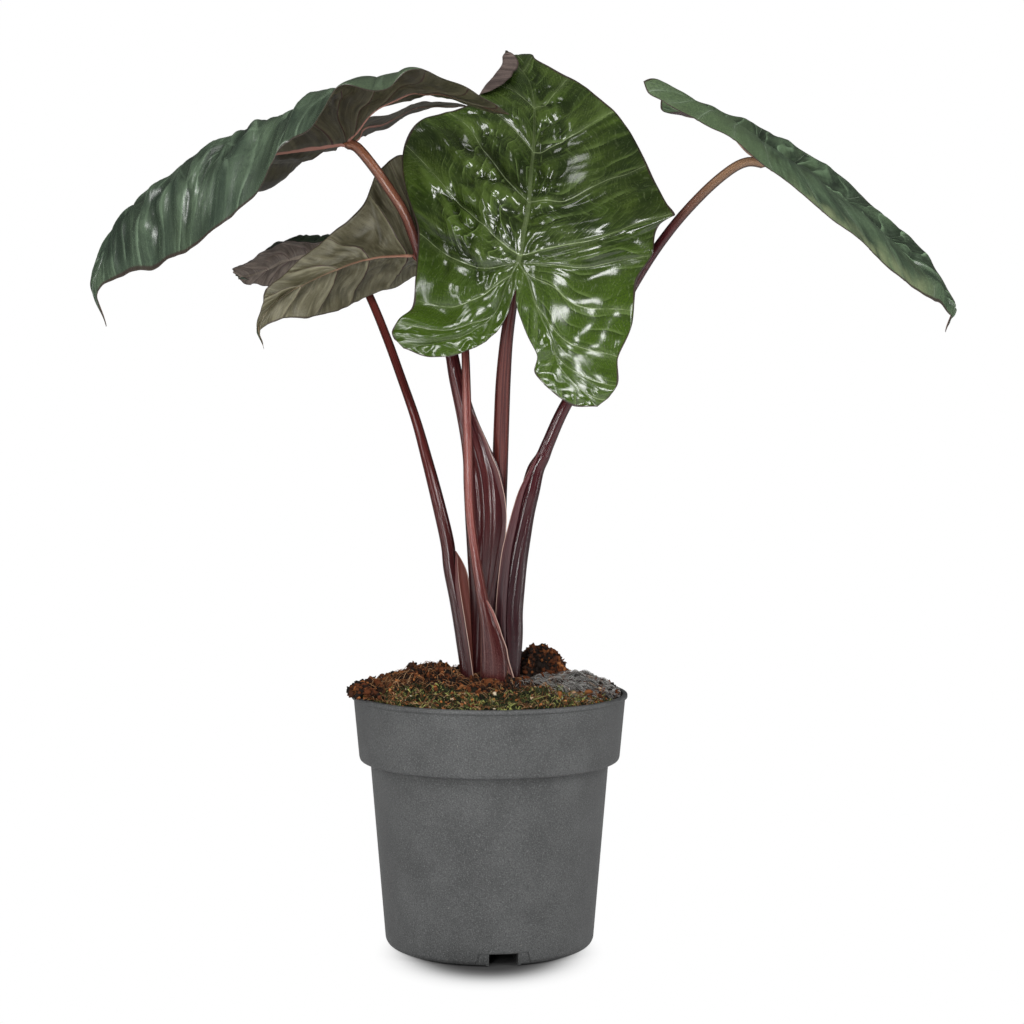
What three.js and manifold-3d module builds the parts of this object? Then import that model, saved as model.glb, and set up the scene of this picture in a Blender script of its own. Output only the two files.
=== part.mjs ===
// A potted alocasia: a grower's pot filled with soil, and five leaves on long stalks.
// Millimetres, +Z up, origin in the middle of the pot's underside.
import * as THREE from 'three';
import { mergeVertices } from 'three/addons/utils/BufferGeometryUtils.js';
import Module from 'manifold-3d';

// Pot
const RIM_RADIUS = 85.1;
const POT_HEIGHT = 153;
const LIP_HEIGHT = 2.6;
const COLLAR_TOP_RADIUS = 83.7;
const COLLAR_FOOT_RADIUS = 80.3;
const COLLAR_FOOT_Z = 112;
const BODY_TOP_RADIUS = 73.5;
const BASE_RADIUS = 63.8;
const WALL = 1.5;
const FLOOR = 1.6;
const FOOT_HEIGHT = 3;
const FOOT_SLANT = 3;
const FOOT_EDGE = 0.9;
const FLOOR_CORNER = 0.4;
const COLLAR_EDGE = { inset: 2.2, shoulderInset: 0.5, shoulderHeight: 0.8, height: 2.6 };
const LIP_UNDERSIDE = 0.8;
const LIP_EDGE = 0.6;
const POT_SIDES = 48;

// Drain ports round the foot of the pot, each with a raised channel over the floor
const PORTS = 3;
const FIRST_PORT_TURN = -Math.PI / 2 + 0.132;
const PORT_WIDTH = 17.4;
const PORT_HEIGHT = 7.6;
const CHANNEL_START = 29.6;
const CHANNEL_END = 62.4;
const DRAIN_SLOT = { length: 16, width: 4, middle: 44 };
const PANEL = { footWidth: 35, topWidth: 30, height: 8.2, depth: 0.65 };
// How far a cut runs past the face that it opens
const OVERRUN = 1;

// Soil
const GAP = 0.3;
const SOIL_EDGE_Z = 150.4;
const SOIL_EDGE_DROP = 1;
const SOIL_EDGE_INSET = 0.1;
const SOIL_FOOT_INSET = 2.4;
const SOIL_FOOT_Z = 4.4;
const SOIL_MIDDLE_Z = 161;
const SOIL_RINGS = 10;
// How a mound falls away: 2 is a plain bell, and more makes a flat top with steep sides
const MOUNDS = [{ x: -43, y: 6, height: 10, spread: 28, steepness: 2 },
  { x: 32, y: 34, height: 17.5, spread: 15, steepness: 6 },
  { x: 60, y: 18, height: 7, spread: 24, steepness: 2 }];
const LUMPS = [{ height: 1.6, x: 0.31, y: 0.27 }, { height: 0.8, x: 0.7, y: 0.5 }];

// Leaves
const BLADE_HALF = 0.4;
const MIDRIB_RISE = 1.7;
const SIDE_RIB_RISE = 0.6;
const MIDRIB_GROOVE = 0.7;
const QUILT = 2.0;
const SWELL_BLUNTNESS = 0.6;
const RUFFLE = 1.1;
const RUFFLE_TURNS = 1.2;
const RUFFLE_REACH = 4;
const TIP_RIB_SHARE = 0.15;
const LOBE_RIB_ROOT = 0.5;
const LOBE_RIB_ROWS = 5;
const NORMAL_STEP = 0.5;
const STALK_SIDES = 12;
const STALK_STEP = 14;
const STALK_FOOT_Z = 122;
const CHANNEL_SHARPNESS = 3;
const DIRECTION_STEP = 0.05;

// Places are sighted from one eye in front of the plant: across and up are read in the upright
// plane through the pot's axis, and depth says how far behind that plane the place lies.
const EYE_DISTANCE = 1170;
const EYE_HEIGHT = 303;

// The flat leaf: the stalk joins it at 0, 0 and the tip points up the second axis.
// Rib and margin points of one row number are the two ends of one side vein.
const TIP_RIB = [200, 158, 122, 91, 64, 40, 20, 0].map((v) => [0, v]);
const LOBE_RIB = [[0, 0], [5, -12], [14, -30], [26, -53], [38, -76], [50, -100]];
const MARGIN = [[0, 200], [9, 166], [30, 138], [52, 107], [68, 77], [78, 48], [83, 20], [84, -10],
  [81, -36], [76, -60], [68, -82], [60, -95], [50, -100]];
const SINUS = [[0, -26], [4, -34], [11, -49], [22, -72], [35, -92], [50, -100]];
const VEIN_SAG = 4;
const COLUMNS = [0, 0.06, 0.22, 0.42, 0.62, 0.8, 0.92, 1];
const SINUS_COLUMNS = [0, 0.35, 0.7, 1];
const JOINT_ROW = 7;
const LAST_ROW = 12;
const ROW_STEP = 0.5;

// Each leaf's pins: where points of the flat leaf lie on the plant. A midrib pin starts with its
// place along the rib, a margin or sinus pin with its row number, and a spare pin with both
// flat coordinates; then come across, up and depth. Right is the side right of the tip, seen on
// the upper face.
const LEAVES = [
  {
    name: 'front',
    midrib: [[200, 16.5, 539, 96], [187, 18, 546.5, 88], [170, 21, 541, 69], [150, 24, 531, 50],
      [110, 27.5, 502.5, 18], [55, 24, 458, -18], [0, 17.5, 418.5, -35], [-26, 16.5, 401.5, -41]],
    right: [[1, 28.5, 543.5, 64], [2, 53.5, 530, 38], [3, 77, 511.5, 14], [4, 93, 487, -4],
      [5, 102.5, 467, -18], [5.7, 110, 453.5, -30], [6, 114, 447.5, -36], [6.3, 104.5, 440.5, -34],
      [7, 101, 424, -36], [8, 90.5, 407.5, -42], [9, 88, 379.5, -50], [10, 79, 358, -54],
      [11, 78, 340.5, -57], [12, 66.5, 329.5, -58]],
    rightSinus: [[4, 48, 332, -58], [3, 28, 351, -54], [2.5, 30, 359.5, -52], [2, 25.5, 369.5, -50],
      [1, 17.5, 391.5, -44]],
    left: [[0.5, 10.5, 544.5, 78], [1, 6, 534, 62], [1.5, -0.5, 526, 46], [2, -5, 520.5, 34],
      [3, -25.5, 511.5, 26], [4, -46.5, 502.5, 18],
      [5, -53.5, 483, 8], [6, -50.5, 459.5, 0], [7, -44, 437, -6], [8, -45.5, 407.5, -14],
      [9, -48, 390, -18], [10, -58, 379.5, -20], [11, -59.5, 373, -22], [12, -53, 365.5, -26]],
    leftSinus: [[4, -35.5, 359.5, -34], [3, -14.5, 362.5, -40], [2, 1.5, 371.5, -42],
      [1, 12.5, 387.5, -42]],
    spare: [],
    colour: 0x2f4f22,
  },
  {
    name: 'big_left',
    midrib: [[200, -237, 379, 12], [178, -244.5, 401.5, 12], [150, -238, 423.5, 13],
      [110, -197.5, 465, 12], [55, -138, 489, 10], [0, -89.5, 497.5, 8], [-26, -79, 502, 10]],
    right: [[1, -245, 410, 18], [2, -233.5, 430.5, 40], [3, -212.5, 454.5, 66], [4, -185, 471.5, 86],
      [5, -144.5, 462, 104], [6, -126, 474, 108], [7, -106, 489.5, 106], [8, -86, 492, 104],
      [9, -66.5, 499.5, 100], [10, -52, 506.5, 94], [11, -37, 513, 88], [12, -14.5, 515, 82]],
    rightSinus: [[4, -30.5, 517, 66], [3, -46.5, 515, 54], [2, -65, 509, 34], [1, -76.5, 505.5, 20]],
    left: [[1, -238, 405, 4], [2, -210, 414.5, -22], [3, -187.5, 425.5, -46], [4, -165.5, 441.5, -64],
      [5, -144.5, 461, -76], [6, -127, 488, -84], [7, -108.5, 505, -88], [8, -89.5, 525, -88],
      [9, -61.5, 526, -84], [10, -37, 536.5, -76], [11, -11, 523, -58], [12, 12, 510, -42]],
    leftSinus: [[4, -12, 514.5, -26], [3, -32, 521, -14], [2, -54, 518, -4], [1, -75, 509, 2]],
    spare: [[-19, 153, -226, 408.5, -8], [-56, 14, -114.5, 516, -50], [-60, -20, -86, 528, -62],
      [-62, -58, -58, 533, -62], [-44, 58, -150.5, 497.5, -38], [-30, 100, -189, 473, -26],
      [-26, 16, -109.5, 505.5, -18], [-30, -24, -82.5, 515, -26], [-22, 56, -144.5, 494, -14],
      [-14, 140, -227, 441, 0]],
    colour: 0x2c4630,
  },
  {
    name: 'right',
    midrib: [[200, 282, 375.5, 2], [178, 286.5, 387.5, 0], [150, 278.5, 398, 4], [110, 245, 429, 6],
      [55, 208, 459.5, 6], [0, 172, 484, 4], [-26, 156, 493, 2]],
    right: [[1, 283.5, 387, -6], [1.5, 275.5, 394.5, -20], [2, 266, 400, -36], [3, 247.5, 413, -58],
      [4, 230, 431.5, -72], [5, 213, 443.5, -80], [6, 194.5, 460, -84], [7, 174.5, 475, -85],
      [8, 161, 486.5, -82], [9, 143.5, 498.5, -76], [10, 126.5, 507, -68], [11, 108, 518, -56],
      [11.5, 98.5, 524, -52], [12, 95.5, 530, -46]],
    rightSinus: [[4.6, 100, 532, -40], [4, 110.5, 528, -34], [3, 127.5, 518, -22], [2, 141, 509, -10],
      [1, 150.5, 502, -4]],
    left: [[1, 287.5, 394, 6], [2, 272, 420.5, 30], [3, 248, 444, 54], [4, 224, 465, 72],
      [5, 204, 481, 80], [6, 185.5, 492, 84], [7, 168.5, 501.5, 86], [8, 155, 507, 84],
      [9, 142.5, 512, 80], [10, 130, 518, 72], [11, 116.5, 523.5, 64], [12, 106.5, 520, 56]],
    leftSinus: [[4, 108, 512, 40], [3, 124, 511.5, 24], [2, 139.5, 506.5, 12], [1, 150, 501.5, 4]],
    spare: [[30, -15, 163, 496.5, -34], [30, 20, 185, 481.5, -36], [28, 55, 202, 469.5, -34],
      [24, 90, 231.5, 445, -30], [20, 110, 245, 433.5, -24], [14, 150, 278, 403, -12]],
    colour: 0x2b4531,
  },
  {
    name: 'low_left',
    midrib: [[200, -139.5, 365, -10], [178, -143, 376.5, -10], [150, -132, 394, -4],
      [110, -105, 409.5, 8], [55, -75, 420.5, 20], [0, -45.5, 422.5, 26], [-26, -35.5, 423.5, 28]],
    right: [[1, -139.5, 378.5, -6], [2, -118.5, 384, 12], [3, -98.5, 387, 32], [4, -83.5, 394.5, 44],
      [5, -69, 399.5, 52], [6, -55.5, 405.5, 58], [7, -41.5, 410, 62], [9, -27, 415, 64],
      [12, -9.5, 418.5, 56]],
    rightSinus: [[3, -23, 421, 42], [2, -30.5, 422.5, 34]],
    left: [[1, -143, 385, -6], [2, -137, 401.5, 2], [3, -116, 421.5, 14], [4, -95, 437.5, 26],
      [5, -77.5, 452.5, 34], [6, -71.5, 470.5, 42], [7, -62, 480.5, 44], [8, -48, 486.5, 46],
      [9, -37, 488, 48], [10, -25.5, 484, 48], [11, -19.5, 479, 48], [12, -16, 471.5, 46]],
    leftSinus: [[3, -23, 450.5, 40], [2, -30.5, 433.5, 34]],
    spare: [],
    colour: 0x4a4a3c,
  },
  {
    name: 'back_left',
    midrib: [[200, -149, 407.5, 102], [178, -156, 410.5, 100], [150, -149, 410.5, 99],
      [110, -130.5, 418.5, 97], [55, -112, 423.5, 95], [0, -93.5, 428, 92], [-26, -86, 429, 90]],
    right: [[1, -152.5, 406, 104], [2, -143.5, 404.5, 114], [4, -123.5, 400.5, 130],
      [6, -103.5, 402.5, 136], [8, -88.5, 407.5, 134], [10, -74, 413.5, 124], [12, -61.5, 421.5, 108]],
    rightSinus: [[3, -76.5, 426, 96]],
    left: [[1, -158.5, 414.5, 94], [2, -148, 419, 78], [4, -126, 430.5, 60], [6, -105, 430.5, 48],
      [8, -86, 433.5, 46], [10, -70, 437, 52], [12, -58, 435.5, 64]],
    leftSinus: [[3, -76.5, 432, 80]],
    spare: [],
    colour: 0x4c463e,
  },
];

// Each stalk from the soil up to its leaf's joint: across, up, depth, half width and half depth,
// then how deep the sheath's channel is cut. Its channel faces the turn given, from +X.
const STALKS = [
  {
    name: 'front',
    channel: -Math.PI / 2,
    route: [[5, 160, 11, 4.4, 4.4, 0.2], [5.5, 234, 11, 4.6, 4.6, 0.15], [6, 272, 10.5, 4.8, 4.7, 0],
      [6.5, 290, 9, 4.9, 4.8, 0], [7.5, 321, 1, 4.8, 4.7, 0], [8.5, 345, -7, 4.6, 4.5, 0],
      [10.5, 370, -16, 4, 4, 0], [14, 395, -26, 3.5, 3.4, 0], [16.5, 409, -32, 3.2, 3.1, 0]],
    colour: 0x3d1c1c,
  },
  {
    name: 'big_left',
    channel: -Math.PI / 2,
    route: [[-7.8, 160, 6, 4.3, 4.3, 0.2], [-6.5, 185, 5, 5.4, 4.4, 0.25], [-5.2, 210, 4, 7, 4.4, 0.3],
      [-3.6, 234, 2, 10, 4.4, 0.35], [-2.4, 259, 1, 12.6, 4.3, 0.35], [-4, 284, 1, 12.2, 4.1, 0.3],
      [-8.5, 303, 1, 8.6, 3.8, 0.2], [-14, 322, 1, 6, 3.6, 0.1], [-20.5, 347, 2, 4.6, 3.5, 0],
      [-23.5, 362, 3, 4, 3.5, 0], [-29, 383, 6, 3.6, 3.4, 0], [-36, 404, 9, 3.5, 3.3, 0],
      [-44, 426, 12, 3.4, 3.3, 0], [-52, 447.5, 14, 3.3, 3.3, 0], [-61.5, 463, 14, 3.3, 3.3, 0],
      [-72.5, 478.5, 12, 3.3, 3.3, 0], [-82, 489.5, 10, 3.3, 3.3, 0]],
    colour: 0x4a2326,
  },
  {
    name: 'right',
    channel: -Math.PI / 2,
    route: [[12.6, 160, 0, 6.2, 4.8, 0.1], [12, 186, 0, 8.6, 5, 0.15], [11.4, 202, 0, 9.3, 5, 0.2],
      [12.8, 217.5, 0, 9.1, 4.9, 0.2], [15.1, 233, 0, 8.3, 4.8, 0.2], [18.2, 248.5, 0, 7.4, 4.7, 0.15],
      [21.6, 264, 0, 6.5, 4.5, 0.1], [25.3, 277.7, 0, 5.9, 4.4, 0], [28.5, 290, 1, 5.3, 4.3, 0],
      [32.8, 298, 1, 4.4, 4.2, 0], [36.5, 307, 2, 4, 4, 0], [46, 328, 2, 3.7, 3.6, 0],
      [63, 357, 3, 3.3, 3.2, 0], [91.5, 408.5, 4, 3.1, 3, 0], [111.5, 438, 4, 3, 3, 0],
      [132, 461, 3, 3, 3, 0], [149, 475.5, 3, 3, 3, 0], [160, 480.5, 3, 3, 3, 0]],
    colour: 0x35191e,
  },
  {
    name: 'low_left',
    channel: Math.PI / 2,
    route: [[2.8, 160, -11, 8.6, 4.4, 0.2], [2.2, 178, -11, 8, 4.4, 0.25], [-1.2, 197, -11, 5, 4.2, 0.2],
      [-4.6, 212, -10.5, 3.7, 3.7, 0.1], [-9.2, 240, -9, 2.9, 3.1, 0], [-12.2, 266, -8, 2.8, 2.9, 0],
      [-13.3, 300, -7, 2.8, 2.9, 0], [-14, 330, -5, 2.8, 2.8, 0], [-15, 364, -1, 2.5, 2.6, 0],
      [-17, 377, 3, 2.7, 2.8, 0], [-22, 391, 9, 2.7, 2.7, 0], [-29, 404, 15, 2.7, 2.7, 0],
      [-37.5, 415.5, 21, 2.7, 2.7, 0]],
    colour: 0x7a4240,
  },
  {
    name: 'back_left',
    channel: 0,
    route: [[-13, 160, -3, 4.8, 4.5, 0.4], [-16, 185, -2, 4.8, 4.4, 0.4], [-20, 209, -1, 4.6, 4.3, 0.35],
      [-24, 229, 1, 4.5, 4.2, 0.2], [-26, 245, 3, 4.3, 4.1, 0], [-32, 271, 8, 4, 3.9, 0],
      [-38.5, 296, 15, 3.5, 3.5, 0], [-45.5, 321, 25, 3, 3, 0], [-54.5, 347, 39, 2.8, 2.8, 0],
      [-63, 370.5, 52, 2.8, 2.8, 0], [-73, 395, 66, 2.7, 2.7, 0], [-82, 412, 79, 2.6, 2.6, 0]],
    colour: 0x47201c,
  },
];

const wasm = await Module();
wasm.setup();

// Closed geometry to a solid that can be joined and cut, and back
const WELD = 1e-4;

function solidOf(geometry) {
  const bare = new THREE.BufferGeometry();
  bare.setAttribute('position', geometry.getAttribute('position').clone());
  if (geometry.index) {
    bare.setIndex(geometry.index.clone());
  }
  const merged = mergeVertices(bare, WELD);
  return new wasm.Manifold(new wasm.Mesh({
    numProp: 3,
    vertProperties: new Float32Array(merged.getAttribute('position').array),
    triVerts: new Uint32Array(merged.index.array),
  }));
}

function geometryOf(solid) {
  const mesh = solid.getMesh();
  const positions = new Float32Array(mesh.vertProperties);
  const geometry = new THREE.BufferGeometry();
  geometry.setAttribute('position', new THREE.BufferAttribute(positions, 3));
  geometry.setIndex(new THREE.BufferAttribute(new Uint32Array(mesh.triVerts), 1));
  geometry.computeVertexNormals();
  return geometry;
}

// The largest of the pieces that a cut leaves
function mainPiece(solid) {
  return solid.decompose().reduce((best, piece) => (piece.volume() > best.volume() ? piece : best));
}

function sighted(across, up, depth) {
  const reach = 1 + depth / EYE_DISTANCE;
  return new THREE.Vector3(across * reach, depth, EYE_HEIGHT + (up - EYE_HEIGHT) * reach);
}

// A smooth curve through plain number rows, read at a row number that need not be whole
function alongRows(rows, place) {
  const last = rows.length - 1;
  const start = Math.min(Math.floor(place), last - 1);
  const f = place - start;
  const before = rows[Math.max(start - 1, 0)];
  const from = rows[start];
  const to = rows[start + 1];
  const after = rows[Math.min(start + 2, last)];
  return from.map((value, k) => 0.5 * (2 * value + (to[k] - before[k]) * f
    + (2 * before[k] - 5 * value + 4 * to[k] - after[k]) * f * f
    + (3 * value - before[k] - 3 * to[k] + after[k]) * f * f * f));
}

// Pot

function latheSolid(outline) {
  const points = outline.map(([r, z]) => new THREE.Vector2(r, z));
  const geometry = new THREE.LatheGeometry(points, POT_SIDES);
  geometry.rotateX(Math.PI / 2);
  return solidOf(geometry);
}

function bodyRadius(z) {
  return BASE_RADIUS + (BODY_TOP_RADIUS - BASE_RADIUS) * (z / COLLAR_FOOT_Z);
}

function boxSolid(radialFrom, radialTo, width, zFrom, zTo, turn) {
  const geometry = new THREE.BoxGeometry(radialTo - radialFrom, width, zTo - zFrom);
  geometry.translate((radialFrom + radialTo) / 2, 0, (zFrom + zTo) / 2);
  geometry.rotateZ(turn);
  return solidOf(geometry);
}

function panelSolid(turn) {
  const shape = new THREE.Shape([
    new THREE.Vector2(-PANEL.footWidth / 2, -OVERRUN),
    new THREE.Vector2(PANEL.footWidth / 2, -OVERRUN),
    new THREE.Vector2(PANEL.topWidth / 2, PANEL.height),
    new THREE.Vector2(-PANEL.topWidth / 2, PANEL.height),
  ]);
  const depth = RIM_RADIUS - CHANNEL_START;
  const geometry = new THREE.ExtrudeGeometry(shape, { depth, bevelEnabled: false });
  geometry.rotateX(Math.PI / 2);
  geometry.rotateZ(Math.PI / 2);
  geometry.translate(CHANNEL_START, 0, 0);
  geometry.rotateZ(turn);
  const coreFoot = -2 * OVERRUN;
  const coreTop = 2 * PANEL.height;
  const core = latheSolid([[0, coreFoot], [bodyRadius(coreFoot) - PANEL.depth, coreFoot],
    [bodyRadius(coreTop) - PANEL.depth, coreTop], [0, coreTop]]);
  return solidOf(geometry).subtract(core);
}

function portTurns() {
  return Array.from({ length: PORTS }, (_, k) => FIRST_PORT_TURN + (k * 2 * Math.PI) / PORTS);
}

function potGeometry() {
  const ledge = COLLAR_FOOT_Z + WALL;
  const lipFoot = POT_HEIGHT - LIP_HEIGHT;
  let pot = latheSolid([
    [0, 0],
    [BASE_RADIUS - FOOT_SLANT, 0],
    [BASE_RADIUS - FOOT_EDGE, FOOT_EDGE],
    [bodyRadius(FOOT_HEIGHT), FOOT_HEIGHT],
    [BODY_TOP_RADIUS, COLLAR_FOOT_Z],
    [COLLAR_FOOT_RADIUS - COLLAR_EDGE.inset, COLLAR_FOOT_Z],
    [COLLAR_FOOT_RADIUS - COLLAR_EDGE.shoulderInset, COLLAR_FOOT_Z + COLLAR_EDGE.shoulderHeight],
    [COLLAR_FOOT_RADIUS, COLLAR_FOOT_Z + COLLAR_EDGE.height],
    [COLLAR_TOP_RADIUS, lipFoot - LIP_UNDERSIDE],
    [RIM_RADIUS, lipFoot],
    [RIM_RADIUS, POT_HEIGHT - LIP_EDGE],
    [RIM_RADIUS - LIP_EDGE, POT_HEIGHT],
    [COLLAR_TOP_RADIUS - WALL, POT_HEIGHT],
    [COLLAR_TOP_RADIUS - WALL, lipFoot],
    [COLLAR_FOOT_RADIUS - WALL, ledge],
    [BODY_TOP_RADIUS - WALL, ledge],
    [bodyRadius(FOOT_HEIGHT) - WALL, FOOT_HEIGHT],
    [BASE_RADIUS - FOOT_SLANT - FLOOR_CORNER, FLOOR],
    [0, FLOOR],
  ]);
  for (const turn of portTurns()) {
    const roof = boxSolid(CHANNEL_START - WALL, CHANNEL_END, PORT_WIDTH + 2 * WALL,
      FLOOR / 2, PORT_HEIGHT + WALL, turn);
    pot = pot.add(roof);
  }
  for (const turn of portTurns()) {
    const slotFrom = DRAIN_SLOT.middle - DRAIN_SLOT.length / 2;
    const slotTo = DRAIN_SLOT.middle + DRAIN_SLOT.length / 2;
    pot = pot.subtract(panelSolid(turn));
    pot = pot.subtract(boxSolid(CHANNEL_START, RIM_RADIUS, PORT_WIDTH, -OVERRUN, PORT_HEIGHT, turn));
    pot = pot.subtract(boxSolid(slotFrom, slotTo, DRAIN_SLOT.width,
      PORT_HEIGHT - OVERRUN, PORT_HEIGHT + WALL + OVERRUN, turn));
  }
  return geometryOf(pot);
}

// Leaves

// A thin sheet bent through its pins: the thin plate spline from the flat leaf to the plant
function bentThrough(flats, places) {
  const count = flats.length;
  const size = count + 3;
  const kernel = (du, dv) => {
    const squared = Math.max(du * du + dv * dv, 1e-12);
    return 0.5 * squared * Math.log(squared);
  };
  const rows = Array.from({ length: size }, () => Array.from({ length: size + 3 }, () => 0));
  flats.forEach(([u, v], i) => {
    flats.forEach(([otherU, otherV], j) => {
      rows[i][j] = kernel(u - otherU, v - otherV);
    });
    [1, u, v].forEach((value, k) => {
      rows[i][count + k] = value;
      rows[count + k][i] = value;
    });
    places[i].toArray().forEach((value, k) => {
      rows[i][size + k] = value;
    });
  });
  for (let column = 0; column < size; column += 1) {
    let pivot = column;
    for (let row = column + 1; row < size; row += 1) {
      if (Math.abs(rows[row][column]) > Math.abs(rows[pivot][column])) {
        pivot = row;
      }
    }
    [rows[column], rows[pivot]] = [rows[pivot], rows[column]];
    for (let row = 0; row < size; row += 1) {
      const share = row === column ? 0 : rows[row][column] / rows[column][column];
      for (let k = column; share !== 0 && k < size + 3; k += 1) {
        rows[row][k] -= share * rows[column][k];
      }
    }
  }
  const weights = rows.map((row, i) => new THREE.Vector3(...row.slice(size)).divideScalar(row[i]));
  return ([u, v]) => {
    const place = weights[count].clone();
    place.addScaledVector(weights[count + 1], u).addScaledVector(weights[count + 2], v);
    flats.forEach(([pinU, pinV], i) => {
      place.addScaledVector(weights[i], kernel(u - pinU, v - pinV));
    });
    return place;
  };
}

function leafSheet(leaf) {
  const flats = [];
  const places = [];
  const pin = (flat, [across, up, depth]) => {
    flats.push(flat);
    places.push(sighted(across, up, depth));
  };
  leaf.midrib.forEach(([v, ...place]) => pin([0, v], place));
  leaf.spare.forEach(([u, v, ...place]) => pin([u, v], place));
  const halves = [[1, leaf.right, leaf.rightSinus], [-1, leaf.left, leaf.leftSinus]];
  for (const [side, margin, sinus] of halves) {
    for (const [pins, line] of [[margin, MARGIN], [sinus, SINUS]]) {
      for (const [row, ...place] of pins) {
        const [u, v] = alongRows(line, row);
        pin([side * u, v], place);
      }
    }
  }
  return bentThrough(flats, places);
}

function ribPoint(row) {
  return row <= JOINT_ROW ? alongRows(TIP_RIB, row) : alongRows(LOBE_RIB, row - JOINT_ROW);
}

// A point between rib and margin, at a row of the side veins and a share of the way out
function flatPoint(row, share) {
  const rib = ribPoint(row);
  const margin = alongRows(MARGIN, row);
  const sag = VEIN_SAG * 4 * share * (1 - share) * Math.min(row, LAST_ROW - row, 1);
  return [rib[0] + (margin[0] - rib[0]) * share, rib[1] + (margin[1] - rib[1]) * share - sag];
}

function sinusPoint(row, share) {
  const rib = alongRows(LOBE_RIB, row);
  const edge = alongRows(SINUS, row);
  return [rib[0] + (edge[0] - rib[0]) * share, rib[1] + (edge[1] - rib[1]) * share];
}

// How far the sheet's middle stands off its smooth form: swollen between the side veins,
// sunk along the ribs and waved at the margin
function relief(row, share, side) {
  const between = Math.sin(Math.PI * row) ** 2;
  const swell = QUILT * between * (4 * share * (1 - share)) ** SWELL_BLUNTNESS;
  const wave = RUFFLE * Math.sin(RUFFLE_TURNS * 2 * Math.PI * row + side) * share ** RUFFLE_REACH;
  return swell + wave - (share === 0 ? MIDRIB_GROOVE : 0);
}

// How far a rib stands out of the underside, thinning towards the tip and along the lobes
function ribRise(row, share) {
  if (share !== 0) {
    return 0;
  }
  if (row <= JOINT_ROW) {
    return MIDRIB_RISE * Math.min(1, row / JOINT_ROW + TIP_RIB_SHARE);
  }
  const rootShare = Math.max(0, LOBE_RIB_ROOT - (row - JOINT_ROW) / LOBE_RIB_ROWS);
  return SIDE_RIB_RISE + MIDRIB_RISE * rootShare;
}

// The flat leaf cut into triangles that share their corners
function flatMesh() {
  const points = [];
  const numbers = new Map();
  const triangles = [];
  const pointNumber = (flat, off, rise) => {
    const key = flat.map((value) => Math.round(value / WELD)).join();
    if (!numbers.has(key)) {
      numbers.set(key, points.length);
      points.push({ flat, off, rise });
    }
    return numbers.get(key);
  };
  const addGrid = (rows, columns, corner, side) => {
    const grid = rows.map((row) => columns.map((share) => corner(row, share)));
    for (let i = 0; i + 1 < rows.length; i += 1) {
      for (let j = 0; j + 1 < columns.length; j += 1) {
        const quad = [grid[i][j], grid[i][j + 1], grid[i + 1][j + 1], grid[i + 1][j]];
        for (const triangle of [[quad[0], quad[1], quad[2]], [quad[0], quad[2], quad[3]]]) {
          if (new Set(triangle).size === 3) {
            triangles.push(side > 0 ? triangle.reverse() : triangle);
          }
        }
      }
    }
  };
  const rowsUpTo = (last) => Array.from({ length: last / ROW_STEP + 1 }, (_, k) => k * ROW_STEP);
  for (const side of [1, -1]) {
    addGrid(rowsUpTo(LAST_ROW), COLUMNS, (row, share) => {
      const [u, v] = flatPoint(row, share);
      return pointNumber([side * u, v], relief(row, share, side), ribRise(row, share));
    }, side);
    addGrid(rowsUpTo(LAST_ROW - JOINT_ROW), SINUS_COLUMNS, (row, share) => {
      const [u, v] = sinusPoint(row, share);
      return pointNumber([side * u, v], share === 0 ? -MIDRIB_GROOVE : 0, 0);
    }, -side);
  }
  return { points, triangles };
}

const FLAT = flatMesh();

function sheetNormal(sheet, [u, v]) {
  const acrossLeaf = sheet([u + NORMAL_STEP, v]).sub(sheet([u - NORMAL_STEP, v]));
  const alongLeaf = sheet([u, v + NORMAL_STEP]).sub(sheet([u, v - NORMAL_STEP]));
  return acrossLeaf.cross(alongLeaf).normalize();
}

function bladeGeometry(sheet, extra) {
  const upper = [];
  const lower = [];
  for (const { flat, off, rise } of FLAT.points) {
    const normal = sheetNormal(sheet, flat);
    const middle = sheet(flat).addScaledVector(normal, off);
    upper.push(...middle.clone().addScaledVector(normal, BLADE_HALF + extra).toArray());
    lower.push(...middle.clone().addScaledVector(normal, -BLADE_HALF - rise - extra).toArray());
  }
  const shift = FLAT.points.length;
  const index = [];
  const edges = new Map();
  for (const [a, b, c] of FLAT.triangles) {
    index.push(a, b, c, c + shift, b + shift, a + shift);
    for (const [from, to] of [[a, b], [b, c], [c, a]]) {
      if (!edges.delete(`${to},${from}`)) {
        edges.set(`${from},${to}`, [from, to]);
      }
    }
  }
  for (const [from, to] of edges.values()) {
    index.push(to, from, from + shift, to, from + shift, to + shift);
  }
  const positions = new Float32Array([...upper, ...lower]);
  const geometry = new THREE.BufferGeometry();
  geometry.setAttribute('position', new THREE.BufferAttribute(positions, 3));
  geometry.setIndex(index);
  geometry.computeVertexNormals();
  return geometry;
}

// Stalks

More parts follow.
